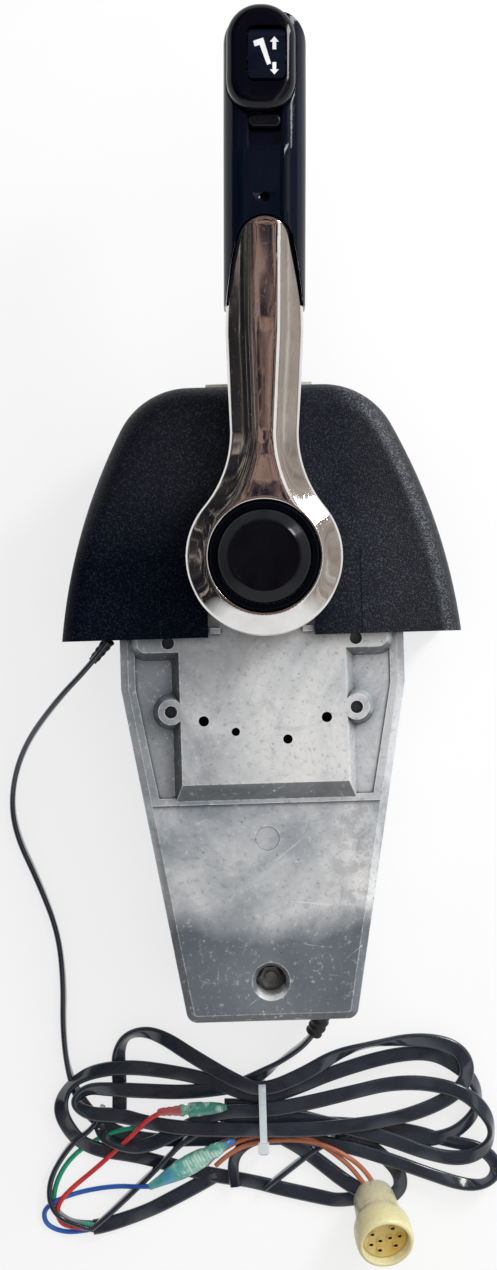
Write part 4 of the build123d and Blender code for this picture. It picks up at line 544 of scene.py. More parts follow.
def ease(name, width):
    """Rounds a solid's sharp edges, as moulding and casting do."""
    part = nodes[name]
    weld = part.modifiers.new("weld", "WELD")
    weld.merge_threshold = 1e-6
    bevel = part.modifiers.new("bevel", "BEVEL")
    bevel.width = width * MM
    bevel.segments = 3
    bevel.limit_method = "ANGLE"
    bevel.angle_limit = math.radians(sharp_angle)
    bevel.use_clamp_overlap = True
    bevel.harden_normals = True
    bevel.miter_outer = "MITER_ARC"


# millimetres of rounding, and the pieces that have it
eased = {
    0.3: ("cable_tie",),
    0.4: ("neutral_trigger", "cover_clip", "plug_insert"),
    0.5: ("switch_pod", "cover_aft", "cover_fore", "bullet_upper", "bullet_lower"),
    0.6: ("plug_shell",),
    0.7: ("main_housing",),
    0.8: ("grip_front_shell", "grip_rear_shell", "trim_rocker", "accelerator_button"),
}
for width, names in eased.items():
    for name in names:
        ease(name, width)


# ======== shared by the added pieces
def lever_place(across, along, level):
    """A place in the leaning lever's millimetres, in the frame's metres."""
    return (
        (across * math.cos(LEAN) + along * math.sin(LEAN)) * MM,
        (along * math.cos(LEAN) - across * math.sin(LEAN)) * MM,
        level * MM,
    )


def object_of(bm, name, look):
    """A finished mesh as an object of the scene, in its look."""
    mesh = bpy.data.meshes.new(name)
    bm.to_mesh(mesh)
    bm.free()
    made = bpy.data.objects.new(name, mesh)
    scene.collection.objects.link(made)
    mesh.materials.append(look)
    return made


def ring_round(bm, middle, ahead, radius, sides, flat=1.0):
    """A ring of points about a line, in metres; flat squashes it from above."""
    across = ahead.cross(Vector((0, 0, 1))).normalized()
    up = across.cross(ahead)
    ring = []
    for number in range(sides):
        turn = 2 * math.pi * number / sides
        spot = middle + across * (radius * math.cos(turn)) + up * (radius * flat * math.sin(turn))
        ring.append(bm.verts.new(spot))
    return ring


def skin_rings(bm, rings):
    """Faces from each ring to the next, and one over each end."""
    for low, high in zip(rings, rings[1:]):
        for k in range(len(low)):
            m = (k + 1) % len(low)
            bm.faces.new((low[k], low[m], high[m], high[k]))
    bm.faces.new(rings[0])
    bm.faces.new(rings[-1])
    bmesh.ops.recalc_face_normals(bm, faces=bm.faces)


# ======== chrome skin of the lever
hub_radius = 31.0
hole_radius = 21.4
flare_radius = 45.0
waist_half = 13.6
arm_half = 15.1
full_width_at = 86.0
arch_tip = 129.0
arch_radius = 140.0
facet_width = 9.0
facet_drop = 5.5
facet_round = 1.0
rim_round = 1.1
lip_round = 1.6
lip_foot = 113.5
lip_draft = 0.25
skin_depth = 2.0
skin_return = 6.0
past_grip = 170.0
facet_spill = 0.3
# stations along the lever, with the level of its front and then of its back
front_levels = ((-31, 121), (24, 121), (44, 122.2), (64, 125.4), (86, 129.4), (108, 133), (131, 136.4))
back_levels = ((-31, 100.5), (41, 100.5), (86, 104.5), (131, 109.5))
# distances in from the outline and out from the hole at which the skin has rings of points
insets = (0.0, 0.04, 0.13, 0.28, 0.5, 0.8, 1.2, 1.8, 2.6, 3.6, 4.8)
insets += (6.0, 7.0, 7.8, 8.5, 9.2, 10.0, 11.0, 12.3, 14.0, 16.0)
hole_steps = (0.0, 0.05, 0.16, 0.35, 0.6, 0.95, 1.3, 1.6, 2.1)
ring_slack = 0.03
hole_clear = 0.4
hole_sides = 220
hub_steps = 110
arc_steps = 40
flank_steps = 24
crease_angle = 50.0
flare_centre = (
    waist_half + flare_radius,
    math.sqrt((hub_radius + flare_radius) ** 2 - (waist_half + flare_radius) ** 2),
)


def arc_points(centre, radius, start, end, count):
    """Points along an arc, angles in radians."""
    turns = np.linspace(start, end, count)
    return [(centre[0] + radius * math.cos(turn), centre[1] + radius * math.sin(turn)) for turn in turns]


def right_side(arched):
    """The lever's right edge from under the hub up, in lever millimetres, with or without its arch."""
    touch = math.atan2(flare_centre[1], flare_centre[0])
    points = arc_points((0, 0), hub_radius, -math.pi / 2, touch, hub_steps)
    points += arc_points(flare_centre, flare_radius, touch + math.pi, math.pi, arc_steps)[1:]
    low = flare_centre[1]
    for step in range(1, flank_steps + 1):
        share = step / flank_steps
        points.append((waist_half + share * (arm_half - waist_half), low + share * (full_width_at - low)))
    if not arched:
        return points + [(arm_half + facet_spill, past_grip)]
    side_x = arm_half - arch_radius
    rise = arch_radius - arch_tip
    tip_y = (side_x**2 + full_width_at**2 - rise**2) / (2 * (full_width_at + rise))
    lean = math.atan2(tip_y - full_width_at, -side_x)
    points += arc_points((side_x, full_width_at), arch_radius, 0.0, lean, arc_steps)[1:]
    points += arc_points((0, tip_y), arch_tip - tip_y, lean, math.pi / 2, arc_steps)[1:]
    return points


def away_from(points, line):
    """Each point's distance to a line of points."""
    line = np.asarray(line)
    start, run = line[:-1], line[1:] - line[:-1]
    share = ((points[:, None, :] - start) * run).sum(2) / (run**2).sum(1)
    nearest = start + np.clip(share, 0, 1)[..., None] * run
    return np.sqrt(((points[:, None, :] - nearest) ** 2).sum(2)).min(1)


def inside(point, outline):
    """Whether a point is inside a closed outline."""
    x, y = point
    ahead = np.roll(outline, -1, 0)
    crosses = (outline[:, 1] > y) != (ahead[:, 1] > y)
    run = np.where(crosses, ahead[:, 1] - outline[:, 1], 1.0)
    at = outline[:, 0] + (y - outline[:, 1]) * (ahead[:, 0] - outline[:, 0]) / run
    return np.count_nonzero(crosses & (at > x)) % 2 == 1


def chrome_levels(points, edge):
    """The skin's height at points: facets along its sides, rounded crests, rim and hole."""
    along = points[:, 1]
    stations, levels = zip(*front_levels)
    front = np.interp(along, stations, levels)
    front = (front + np.interp(along - 5, stations, levels) + np.interp(along + 5, stations, levels)) / 3
    mirrored = np.column_stack([np.abs(points[:, 0]), along])
    depth = away_from(mirrored, right_side(False))
    slope = np.logaddexp(0, (facet_width - depth) / facet_round) * facet_round / facet_width
    drop = facet_drop * slope
    rim = np.clip(1 - edge / rim_round, 0, 1)
    drop += rim_round * (1 - np.sqrt(1 - rim**2))
    lip = np.clip(1 - (np.hypot(points[:, 0], along) - hole_radius) / lip_round, 0, 1)
    drop += lip_round * (1 - np.sqrt(1 - lip**2))
    return front - drop


def chrome_skin():
    """The plated shell: one smooth skin over the hub and the arm, its rim and its inner lip."""
    right = right_side(True)
    outline = np.array(right + [(-x, y) for x, y in reversed(right[1:-1])])
    ahead = np.roll(outline, -1, 0) - np.roll(outline, 1, 0)
    inward = np.column_stack([-ahead[:, 1], ahead[:, 0]]) / np.hypot(*ahead.T)[:, None]
    closed = np.vstack([outline, outline[:1]])
    cloud, edges = [outline], [np.zeros(len(outline))]
    for inset in insets[1:]:
        ring = outline + inward * inset
        edge = away_from(ring, closed)
        keep = (edge > inset - ring_slack) & (np.hypot(*ring.T) > hole_radius + hole_clear)
        cloud.append(ring[keep])
        edges.append(edge[keep])
    hole_turns = np.linspace(0, 2 * math.pi, hole_sides, endpoint=False)
    circle = np.column_stack([np.cos(hole_turns), np.sin(hole_turns)])
    hole_start = sum(len(part) for part in cloud)
    for step in hole_steps:
        ring = circle * (hole_radius + step)
        cloud.append(ring)
        edges.append(away_from(ring, closed))
    points = np.vstack(cloud)
    levels = chrome_levels(points, np.concatenate(edges))
    count = len(outline)
    rims = [(i, (i + 1) % count) for i in range(count)]
    rims += [(hole_start + i, hole_start + (i + 1) % len(circle)) for i in range(len(circle))]
    vectors = [Vector(point) for point in points]
    flat, _, faces, origins, _, _ = geometry.delaunay_2d_cdt(vectors, rims, [], 0, 1e-5)
    bm = bmesh.new()
    verts = []
    for spot, source in zip(flat, origins):
        verts.append(bm.verts.new((spot[0], spot[1], levels[source[0]])))
    spots = np.array([(vert.co.x, vert.co.y) for vert in verts])
    for face in faces:
        middle = spots[list(face)].mean(0)
        if np.hypot(*middle) >= hole_radius - 0.005 and inside(middle, outline):
            bm.faces.new([verts[i] for i in face])
    by_source = {source[0]: vert for vert, source in zip(verts, origins) if source}
    stations, backs = zip(*back_levels)
    rows = [[by_source[i] for i in range(count)]]
    for inset, lift in ((0.0, 0.0), (skin_depth, 0.0), (skin_depth, skin_return)):
        ring = outline + inward * inset
        row = [bm.verts.new((x, y, np.interp(y, stations, backs) + lift)) for x, y in ring]
        rows.append(row)
    lip = [by_source[hole_start + i] for i in range(len(circle))]
    under = [bm.verts.new((x, y, lip_foot)) for x, y in circle * (hole_radius - lip_draft)]
    for upper, lower, flip in [(a, b, False) for a, b in zip(rows, rows[1:])] + [(lip, under, True)]:
        for i in range(len(upper)):
            j = (i + 1) % len(upper)
            quad = [upper[i], upper[j], lower[j], lower[i]]
            bm.faces.new(quad[::-1] if not flip else quad)
    bmesh.ops.recalc_face_normals(bm, faces=bm.faces)
    for vert in [vert for vert in bm.verts if not vert.link_faces]:
        bm.verts.remove(vert)
    for face in bm.faces:
        face.smooth = True
    for edge in bm.edges:
        if len(edge.link_faces) == 2 and edge.calc_face_angle(0) > math.radians(crease_angle):
            edge.smooth = False
    for vert in bm.verts:
        vert.co = lever_place(*vert.co)
    skin = object_of(bm, "chrome_skin", looks["chrome_plate"])
    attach(skin, "lever")
    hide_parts("chrome_shroud")


chrome_skin()


# ======== marks on the rocker
rocker_at = 187.0
rocker_crest = 148.0
rocker_dip = 0.8
rocker_slope = 6.4
mark_thick = 0.12
up_arrow = ((0, 2.8), (1.65, 0.9), (0.7, 0.9), (0.7, -1.9), (-0.7, -1.9), (-0.7, 0.9), (-1.65, 0.9))
tilted_bar = ((-3.3, 3.0), (0.4, 4.2), (0.9, 2.6), (3.4, -5.4), (1.9, -6.0), (-0.9, 1.6), (-2.8, 1.0))


def rocker_mark(name, shape, across, along, flip=1.0):
    """A thin printed shape that lies on the rocker's dished top."""
    bm = bmesh.new()
    rings = []
    for lift in (0.0, mark_thick):
        ring = []
        for x, y in shape:
            place_x = across + x
            place_y = along + flip * y
            dish = rocker_dip * min(abs(place_y) / rocker_slope, 1.0)
            level = rocker_crest - rocker_dip + dish + lift
            station = rocker_at + place_y
            ring.append(bm.verts.new(lever_place(place_x, station, level)))
        rings.append(ring)
    bm.faces.new(rings[1])
    for i in range(len(shape)):
        j = (i + 1) % len(shape)
        bm.faces.new((rings[0][i], rings[0][j], rings[1][j], rings[1][i]))
    bmesh.ops.triangulate(bm, faces=[face for face in bm.faces if len(face.verts) > 4])
    bmesh.ops.recalc_face_normals(bm, faces=bm.faces)
    mark = object_of(bm, name, looks["paint_white"])
    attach(mark, "rocker")


rocker_mark("mark_up", up_arrow, 3.5, 3.25)
rocker_mark("mark_down", up_arrow, 3.5, -5.4, -1.0)
rocker_mark("mark_bar", tilted_bar, -1.1, 1.4)


# ======== leads and harness
def spline_of(name, points, width, thick, tilts):
    """A NURBS line through the air from given points in millimetres, with a flattened section."""
    curve = bpy.data.curves.new(name, "CURVE")
    curve.dimensions = "3D"
    curve.twist_mode = "Z_UP"
    curve.bevel_depth = thick / 2 * MM
    curve.extrude = (width - thick) / 2 * MM
    curve.bevel_resolution = 5
    curve.resolution_u = 10
    curve.use_fill_caps = thick > 0
    spline = curve.splines.new("NURBS")
    spline.points.add(len(points) - 1)
    for point, place_mm, tilt in zip(spline.points, points, tilts):
        point.co = (*[value * MM for value in place_mm], 1.0)
        point.tilt = math.radians(tilt)
    spline.order_u = 3
    spline.use_endpoint_u = True
    return curve


def line_along(name, points):
    """The places along a lead's own spline, read from a copy with no bevel."""
    curve = spline_of(name + "_line", points, 0.0, 0.0, [0.0] * len(points))
    probe = bpy.data.objects.new(name + "_line", curve)
    mesh = bpy.data.meshes.new_from_object(probe)
    along = [vertex.co.copy() for vertex in mesh.vertices]
    bpy.data.objects.remove(probe)
    bpy.data.curves.remove(curve)
    bpy.data.meshes.remove(mesh)
    return along


lying_tilt = 90.0
rocking_tilt = 20.0
folded_share = 0.15
unfolding_share = 0.45


def lead(name, points, look, width=6.6, thick=2.4, edge_until=0, folds=(), replaces=()):
    """A lead. Its sleeve stands on edge up to a point of its line, and where it folds back."""
    tilts = []
    for index in range(len(points)):
        lying = min(max((index - edge_until) / 2.0, 0.0), 1.0) if edge_until else 1.0
        for fold in folds:
            lying = min(lying, folded_share + unfolding_share * abs(index - fold))
        rocking = rocking_tilt * math.sin(2.1 * index + len(name))
        tilts.append(lying_tilt * lying + rocking * (0.3 + 0.7 * lying))
    curve = spline_of(name, points, width, thick, tilts)
    obj = bpy.data.objects.new(name, curve)
    scene.collection.objects.link(obj)
    curve.materials.append(look)
    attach(obj, "housing")
    along = line_along(name, points)
    if replaces:
        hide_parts(*replaces)


def strain_relief(name, points, start, end, reach):
    """A tapered and ringed rubber boot over the first part of a lead."""
    groove_share = 0.12
    groove_pitch = 3.2
    sides = 28
    between = 12
    along = line_along(name, points)
    gone = 0.0
    rings = []
    bm = bmesh.new()
    dense = []
    for a, b in zip(along, along[1:]):
        for step in range(between):
            dense.append(a.lerp(b, step / between))
    for a, b in zip(dense, dense[1:]):
        if gone > reach * MM:
            break
        share = gone / (reach * MM)
        radius = (start + (end - start) * share) * MM
        groove = 0.5 - 0.5 * math.cos(2 * math.pi * gone / (groove_pitch * MM))
        radius *= 1.0 - groove_share * groove
        rings.append(ring_round(bm, a, (b - a).normalized(), radius, sides))
        gone += (b - a).length
    skin_rings(bm, rings)
    for face in bm.faces:
        face.smooth = True
    boot = object_of(bm, name, looks["gasket_rubber"])
    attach(boot, "housing")
    return boot


wire_thick = 2.2
sleeve = looks["lead_sleeve"]

trim_points = [
    (-66, -31, 50), (-74.5, -41, 45.5), (-90, -55.9, 36), (-106.6, -75.7, 18), (-114.2, -96.1, 8),
    (-113.4, -115, 4), (-103.2, -138.5, 3.6), (-95.8, -160, 3.6), (-93.8, -181.5, 3.6), (-94.8, -203, 3.6),
    (-93.4, -222, 3.6), (-87, -238, 3.4), (-78, -247, 3.2), (-66, -252.5, 3), (-50, -254.5, 3.2),
    (-30, -254.5, 3.4), (-8.6, -254.6, 3.6), (10, -254.8, 4.6), (28, -258, 6.4), (48.6, -264.5, 8),
    (65.3, -271.2, 8), (82, -277.4, 7), (92.6, -277, 6.4), (97, -269.4, 6.4), (90, -261, 6.4),
    (74.1, -257.7, 5), (57.4, -252.4, 4), (30, -249, 3.6), (-8.6, -247, 3.6), (-26, -248, 3.4),
]
trim_boot = strain_relief("trim_boot", trim_points, 2.7, 2.0, 12.0)
lead(
    "lead_trim",
    trim_points,
    sleeve,
    6.0,
    edge_until=10,
    folds=(22,),
    replaces=["trim_lead"],
)

neutral_points = [
    (21.5, -188.8, 20), (20.5, -199.5, 16.5), (13.5, -211, 10.5), (2, -219.4, 7), (-7, -225.5, 7.2),
    (-18, -230.5, 7), (-39.6, -232.4, 7.4), (-58.7, -231, 8), (-73.8, -229.6, 9), (-84.8, -228.8, 9),
    (-91, -234.8, 9), (-84, -240.4, 9.2), (-70.5, -241, 9.4), (-59.1, -244.4, 9.6), (-43.6, -247.5, 10.2),
    (-24.4, -248.6, 10.6), (-8.6, -249, 10.8), (6, -249.6, 10.6), (24.1, -249.5, 10), (49.1, -246.7, 9.6),
    (66.1, -242.3, 9.4), (79.8, -235.4, 9.2), (84.6, -227, 9), (82.4, -218.6, 9), (75, -213.4, 9),
    (61, -211.2, 9.2), (41.6, -212.6, 9.6), (26.4, -216.6, 10.2), (12.8, -224.7, 10.8), (-7, -232.4, 11),
    (-20.2, -226.4, 11), (-38, -215.6, 9), (-49.6, -207.9, 7), (-58.6, -204.9, 5.4), (-67, -206.9, 4.4),
    (-70.4, -213.6, 4), (-70.6, -221.8, 3.4), (-70.4, -230, 3), (-70.8, -240, 2.8),
]
neutral_boot = strain_relief("neutral_boot", neutral_points, 4.9, 3.8, 20.0)
lead(
    "lead_neutral",
    neutral_points,
    sleeve,
    edge_until=3,
    folds=(10, 26, 34),
    replaces=["neutral_lead"],
)

pair_points = [
    (40.6, -280.6, 5), (28, -284.2, 3), (14.7, -281.3, 1.6), (0.6, -277.8, 1.6), (-13.6, -273.8, 1.6),
    (-27, -271.4, 1.6), (-40.6, -268.2, 1.6), (-58.7, -262.7, 1.6), (-68, -260.2, 1.8),
    (-79.6, -258.2, 2.6), (-88.4, -254, 3.6), (-93.4, -247.4, 5.6), (-96.8, -239.6, 6.4),
    (-95.6, -232.4, 6.8), (-90.6, -226, 7), (-81.1, -221.6, 7), (-65.9, -220.1, 7.4), (-46.8, -222.9, 7.6),
    (-31.4, -226.6, 7.4), (-8.6, -236, 7.4), (6, -232.6, 8), (24.8, -225.1, 8), (49.9, -218.7, 6.4),
    (66.9, -217.9, 6), (77.8, -222.6, 6), (86.9, -230.6, 6), (89.4, -239.4, 6), (85.4, -248.4, 6),
    (76, -255.4, 5.6), (62, -257.4, 5), (45, -255, 4.4), (15, -247, 3.6), (-8.6, -240, 3.6),
    (-24, -239.6, 3.4),
]
lead("lead_pair", pair_points, sleeve, folds=(14, 26), replaces=["harness_hank"])

outer_points = [
    (-78, -238, 4.6), (-80.2, -243.4, 4.4), (-84.1, -248.8, 4), (-90.9, -252.9, 3.4), (-96.9, -260, 3.2),
    (-101.4, -268, 3.2), (-103.3, -275, 3.2), (-102.6, -281.4, 3.2), (-98.6, -287, 3.2),
    (-91.3, -290.6, 3.2), (-83.6, -291.9, 2.6),
]
lead("lead_outer", outer_points, sleeve, 6.0, edge_until=9)

quad_points = [
    (-79.4, -243.8, 3), (-79.6, -250.4, 4.6), (-71.4, -255.6, 6), (-59.8, -256.2, 7), (-46, -250, 8),
    (-28.2, -241, 9.6), (-8.6, -240.8, 11), (10, -238.4, 11), (32.5, -233.8, 10.4), (49.6, -230.2, 10.2),
    (66.5, -230.6, 10), (82, -235, 10.4), (91.4, -243.9, 9.6), (94.6, -253.4, 9.2), (90.6, -261.6, 9.2),
    (80, -265.2, 9.2), (65.5, -262.4, 8.6), (48.8, -255.4, 8), (30, -250, 7), (8, -245, 7),
    (-8.6, -243.6, 7.2), (-24, -243.6, 6.8),
]
lead("lead_quad", quad_points, sleeve, folds=(2, 13))

# short stretches of sleeve that show beside the bundle: name, width, thickness, the point up to
# which each stands on edge, and its line
straps = (
    ("strap_right", 6.8, 2.6, 0, [
        (-14, -246, 5), (5.2, -255.7, 4.6), (18, -266, 3.6), (31.3, -276.9, 4.6), (40, -280.4, 7.6),
    ]),
    ("strap_foot", 6.8, 2.6, 0, [
        (-84, -292, 3.2), (-79.6, -291.9, 2.6), (-60.3, -286.2, 2), (-48.6, -280.8, 1.8),
        (-36.8, -274.9, 1.8), (-28.5, -270.8, 1.8),
    ]),
    ("strap_rise", 6.0, 2.4, 4, [
        (-84.4, -292, 4.6), (-80, -289, 4.6), (-63.5, -274.1, 4.6), (-51.6, -262.9, 6.4),
        (-41.5, -252.5, 8), (-30, -246, 7.4),
    ]),
    ("strap_loop", 6.4, 2.4, 0, [
        (24, -250, 4), (38, -257.5, 4), (48.5, -266, 4), (53.8, -273.1, 4), (52.6, -281, 3.6),
        (44, -284, 5.6),
    ]),
    ("strap_under", 5.0, 2.4, 0, [
        (-20, -275, 6.2), (-21.6, -267, 6.4), (-19, -259.6, 4.6), (-11, -254.6, 4), (2, -253.5, 3.6),
        (16, -254, 3.4),
    ]),
    ("strap_short", 5.6, 2.4, 3, [
        (-7, -277, 3), (-1, -272.4, 3.4), (9, -265, 3.4), (19, -258, 3.6), (33, -252, 3.8),
    ]),
)
for name, width, thick, edge_until, points in straps:
    hidden = ["tail_loop"] if name == "strap_foot" else []
    lead(name, points, sleeve, width, thick, edge_until=edge_until, replaces=hidden)

# name, look and line of each bare wire
wires = (
    ("wire_green", "wire_green", [
        (-60.5, -247.4, 6.4), (-66.5, -248, 5.4), (-74.5, -250, 3.6), (-82.6, -253.7, 2.4),
        (-92.5, -260.3, 1.5), (-99.4, -269.9, 1.4), (-102, -280.5, 1.4), (-98.6, -286.9, 1.5),
        (-91.6, -290.6, 2.6), (-83, -290.8, 4.4),
    ]),
    ("wire_red", "wire_red", [
        (-52.6, -239.6, 14.6), (-58, -242.6, 12.2), (-64, -249.4, 8.6), (-73.3, -258.2, 4.6),
        (-82.4, -266.4, 2.2), (-92.9, -274.1, 3.6), (-99.3, -280.6, 4), (-99.8, -287.4, 3.8),
        (-95.7, -292, 3), (-84.4, -292.4, 4.4),
    ]),
    ("wire_blue", "wire_blue", [
        (-57.8, -273.2, 8.4), (-63, -273.6, 7.2), (-72.4, -273.9, 3.6), (-82.2, -275.3, 1.5),
        (-92.5, -277.3, 1.4), (-101.6, -280.2, 3.8), (-106.2, -284.6, 2.4), (-105.2, -290.7, 1.4),
        (-98.8, -294, 1.4), (-91.3, -294.2, 2.6), (-83.6, -292.6, 3.8),
    ]),
    ("brown_first", "wire_brown", [
        (-33, -265.4, 5.2), (-27, -259, 6), (-15, -253.6, 5.6), (-2, -252.6, 5.4), (11.9, -253.2, 6.4),
        (23.7, -260.7, 7.4), (33.3, -269.4, 7.4), (38.4, -277.8, 6),
    ]),
    ("brown_second", "wire_brown", [
        (-28.6, -265.8, 5), (-23, -260.4, 6.4), (-13, -255.8, 6.6), (1, -254.8, 6), (14.5, -255.6, 7),
        (27, -260.4, 8.4), (38, -269, 7.6), (42, -277, 6.4),
    ]),
    ("brown_third", "wire_brown", [
        (-36, -264, 4), (-30, -257.4, 4.4), (-17, -251.8, 5), (-1, -250.8, 4), (12, -251.6, 4.6),
    ]),
)
for name, look, points in wires:
    lead(name, points, looks[look], wire_thick, wire_thick)


# ======== the round connector and the two bullets
def turned(name, profile, start, end, look, hides=(), flat=1.0, sides=64):
    """A turned shape about the line from start to end; its profile is (along, radius) in millimetres."""
    start = Vector(start)
    ahead = (Vector(end) - start).normalized()
    bm = bmesh.new()
    rings = []
    for along, radius in profile:
        rings.append(ring_round(bm, (start + ahead * along) * MM, ahead, radius * MM, sides, flat))
    skin_rings(bm, rings)
    for face in bm.faces:
        face.smooth = len(face.verts) == 4
    piece = object_of(bm, name, look)
    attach(piece, "housing")
    if hides:
        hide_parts(*hides)


def moulded_ivory():
    """Clear resin gone cream: frosted at the back and yellower toward the mouth, where part of the
    brightness is painted light, with bright specks painted as glints.
    """
    mat, tree, shader = tree_of("moulded_ivory")
    at = place(tree)
    z = axes(tree, at)[2]
    cloud = grain(tree, at, 160.0, 4.0)
    # partly painted light: brighter and yellower toward the top and the mouth, greyer toward the back
    rise_tone_and_light = maths(tree, "ADD", z, spread(tree, cloud, 0.3, 0.7, -0.004, 0.004))
    colour = tones(
        tree,
        spread(tree, rise_tone_and_light, 0.002, 0.036),
        (0.0, (0.50, 0.50, 0.42)), (0.3, (0.64, 0.60, 0.40)), (0.6, (0.72, 0.66, 0.40)),
        (1.0, (0.80, 0.73, 0.40)),
    )
    # painted glints: bright specks
    painted_glint = spread(tree, grain(tree, at, 700.0, 3.0, 0.7), 0.58, 0.68)
    murk = spread(tree, grain(tree, at, 420.0, 3.0, 0.7), 0.42, 0.3)
    colour = layered(tree, colour, (painted_glint, 0.5, (0.92, 0.90, 0.74)), (murk, 0.3, (0.42, 0.38, 0.22)))
    rough = spread(tree, cloud, 0.3, 0.7, 0.22, 0.4)
    set_inputs(tree, shader, Base_Color=colour, Roughness=rough)
    set_inputs(tree, shader, Subsurface_Weight=0.2, Subsurface_Scale=0.004)
    relief(tree, shader, (painted_glint, 0.25, 0.0002), (cloud, 0.2, 0.0004))
    return mat


def moulded_amber():
    """The insert: amber resin, deeper where it is thick."""
    mat, tree, shader = tree_of("moulded_amber")
    at = place(tree)
    x = axes(tree, at)[0]
    cloud = grain(tree, at, 150.0, 4.0)
    side = maths(tree, "ADD", x, spread(tree, cloud, 0.3, 0.7, -0.004, 0.004))
    colour = tones(
        tree,
        spread(tree, side, 0.034, 0.054),
        (0.0, (0.80, 0.62, 0.27)), (0.5, (0.78, 0.55, 0.17)), (1.0, (0.74, 0.42, 0.06)),
    )
    set_inputs(tree, shader, Base_Color=colour, Roughness=0.3, Subsurface_Weight=0.1)
    relief(tree, shader, (grain(tree, at, 500.0, 3.0), 0.3, 0.0002))
    return mat


def clear_bullet(name, start, end, stops, glints):
    """A clear sleeve over crimped terminals, coloured along its length."""
    mat, tree, shader = tree_of(name)
    at = place(tree)
    parts = axes(tree, at)
    run = [(b - a) * MM for a, b in zip(start, end)]
    length = math.hypot(run[0], run[1])
    ahead_x = times(tree, parts[0], run[0] / length)
    ahead_y = times(tree, parts[1], run[1] / length)
    along = maths(tree, "ADD", ahead_x, ahead_y)
    origin = (start[0] * run[0] + start[1] * run[1]) * MM / length
    share = spread(tree, along, origin, origin + length)
    colour = tones(tree, share, *stops)
    cloud = grain(tree, at, 200.0, 3.0)
    colour = blend(tree, spread(tree, cloud, 0.62, 0.4, 0.0, 0.45), colour, (0.03, 0.17, 0.13))
    low, high = glints
    window = times(tree, spread(tree, share, low, low + 0.04), spread(tree, share, high, high - 0.04))
    glint = times(tree, window, spread(tree, grain(tree, at, 190.0, 2.0, 0.6), 0.46, 0.60))
    ribs = add_node(tree, "Math", {0: times(tree, share, 190.0)}, operation="SINE").outputs[0]
    glint = times(tree, glint, spread(tree, ribs, -1.0, 0.4, 0.45, 1.0))
    colour = layered(tree, colour, (glint, 0.75, (0.74, 0.90, 0.82)))
    set_inputs(tree, shader, Base_Color=colour, Roughness=0.12, Coat_Weight=0.5, Coat_Roughness=0.05)
    relief(tree, shader, (glint, 0.4, 0.0004), (cloud, 0.25, 0.0005))
    return mat


plug_rear = (41.0, -281.6, 3.4)
plug_front = (44.6, -294.6, 36.0)
ivory = moulded_ivory()
amber = moulded_amber()
shell_profile = [
    (4, 6.6), (0.6, 7.2), (-0.2, 7.8), (0, 8.5), (0.6, 8.9), (6, 9.5), (12, 9.8), (15, 9.9), (17, 10.3),
    (19, 11.3), (21, 12.1), (23.5, 12.5), (29, 12.6), (32, 12.4), (33.6, 11.9), (34.2, 11.2), (34.1, 10.5),
    (33.2, 10), (28.5, 9.9),
]
turned("plug_body", shell_profile, plug_rear, plug_front, ivory, ["plug_shell"])
face_profile = [(27.0, 9.9), (29.8, 9.85), (30.4, 9.5), (30.2, 8.6), (29.9, 7.0), (29.8, 1.0)]
turned("plug_face", face_profile, plug_rear, plug_front, amber, ["plug_insert"])
pin_black = metal("pin_black", (0.012, 0.009, 0.006), (0.03, 0.022, 0.014), 0.5)
plug_ahead = (Vector(plug_front) - Vector(plug_rear)).normalized()
plug_across = plug_ahead.cross(Vector((0, 0, 1))).normalized()
plug_up = plug_across.cross(plug_ahead)
collar_profile = [(29.0, 1.55), (30.7, 1.5), (30.9, 1.3), (30.8, 0.95), (30.0, 0.9)]
pin_profile = [(29.6, 0.92), (30.3, 0.9), (30.5, 0.6)]
pin_places = [
    (-4.6, 4.4), (4.6, 4.4), (-6.4, -0.6), (-2.2, 0), (2.2, 0), (6.4, -0.6), (-3.6, -4.8), (3.6, -4.8),
]
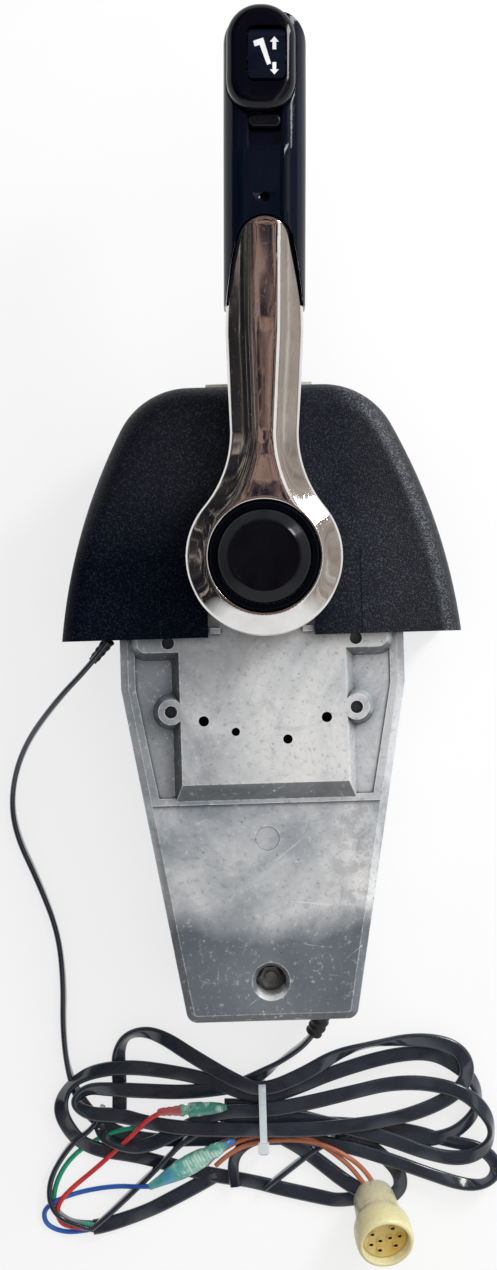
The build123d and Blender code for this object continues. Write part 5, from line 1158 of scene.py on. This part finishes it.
for number, (aside, above) in enumerate(pin_places):
    foot = Vector(plug_rear) + plug_across * aside + plug_up * above
    turned("plug_socket_" + str(number), collar_profile, foot, foot + plug_ahead, amber, sides=24)
    turned("plug_pin_" + str(number), pin_profile, foot, foot + plug_ahead, pin_black, sides=16)

upper_start = (-53.4, -239.0, 14.6)
upper_end = (-22.6, -237.6, 15.2)
upper_stops = (
    (0.0, (0.62, 0.07, 0.09)), (0.33, (0.66, 0.10, 0.12)), (0.36, (0.10, 0.40, 0.30)),
    (0.75, (0.07, 0.30, 0.23)), (1.0, (0.05, 0.22, 0.17)),
)
upper_look = clear_bullet("bullet_red", upper_start, upper_end, upper_stops, (0.33, 0.95))
upper_profile = [
    (0, 1), (0.8, 1.5), (3, 1.9), (4, 1.7), (5.5, 2.1), (6.5, 1.8), (8, 2.2), (9.6, 2.2), (10.2, 2.6),
    (11.6, 2.7), (12.4, 2), (13.4, 2), (13.9, 3), (14.6, 3.2), (19.6, 3.2), (20.4, 2.9), (24, 2.8),
    (28, 2.2), (30.8, 1.2),
]
turned("bullet_red_body", upper_profile, upper_start, upper_end, upper_look, ["bullet_upper"], 0.85, 40)
lower_start = (-58.7, -273.8, 8.4)
lower_end = (-19.6, -253.2, 9.6)
lower_stops = (
    (0.0, (0.10, 0.42, 0.36)), (0.12, (0.10, 0.42, 0.42)), (0.22, (0.09, 0.36, 0.60)),
    (0.33, (0.12, 0.46, 0.42)), (0.6, (0.16, 0.50, 0.38)), (0.86, (0.14, 0.46, 0.36)),
    (0.92, (0.05, 0.20, 0.55)), (1.0, (0.03, 0.13, 0.45)),
)
lower_look = clear_bullet("bullet_blue", lower_start, lower_end, lower_stops, (0.30, 0.88))
lower_profile = [
    (0, 0.9), (0.8, 1.5), (7, 2.6), (12, 3.7), (16, 4.4), (22, 4.6), (27, 4.3), (29, 3.9), (30, 3.3),
    (31, 3.6), (32.6, 3.2), (33.6, 3.5), (35.2, 3), (36.4, 2.9), (38.4, 1.7), (44, 1.3),
]
turned("bullet_blue_body", lower_profile, lower_start, lower_end, lower_look, ["bullet_lower"], 0.7, 40)
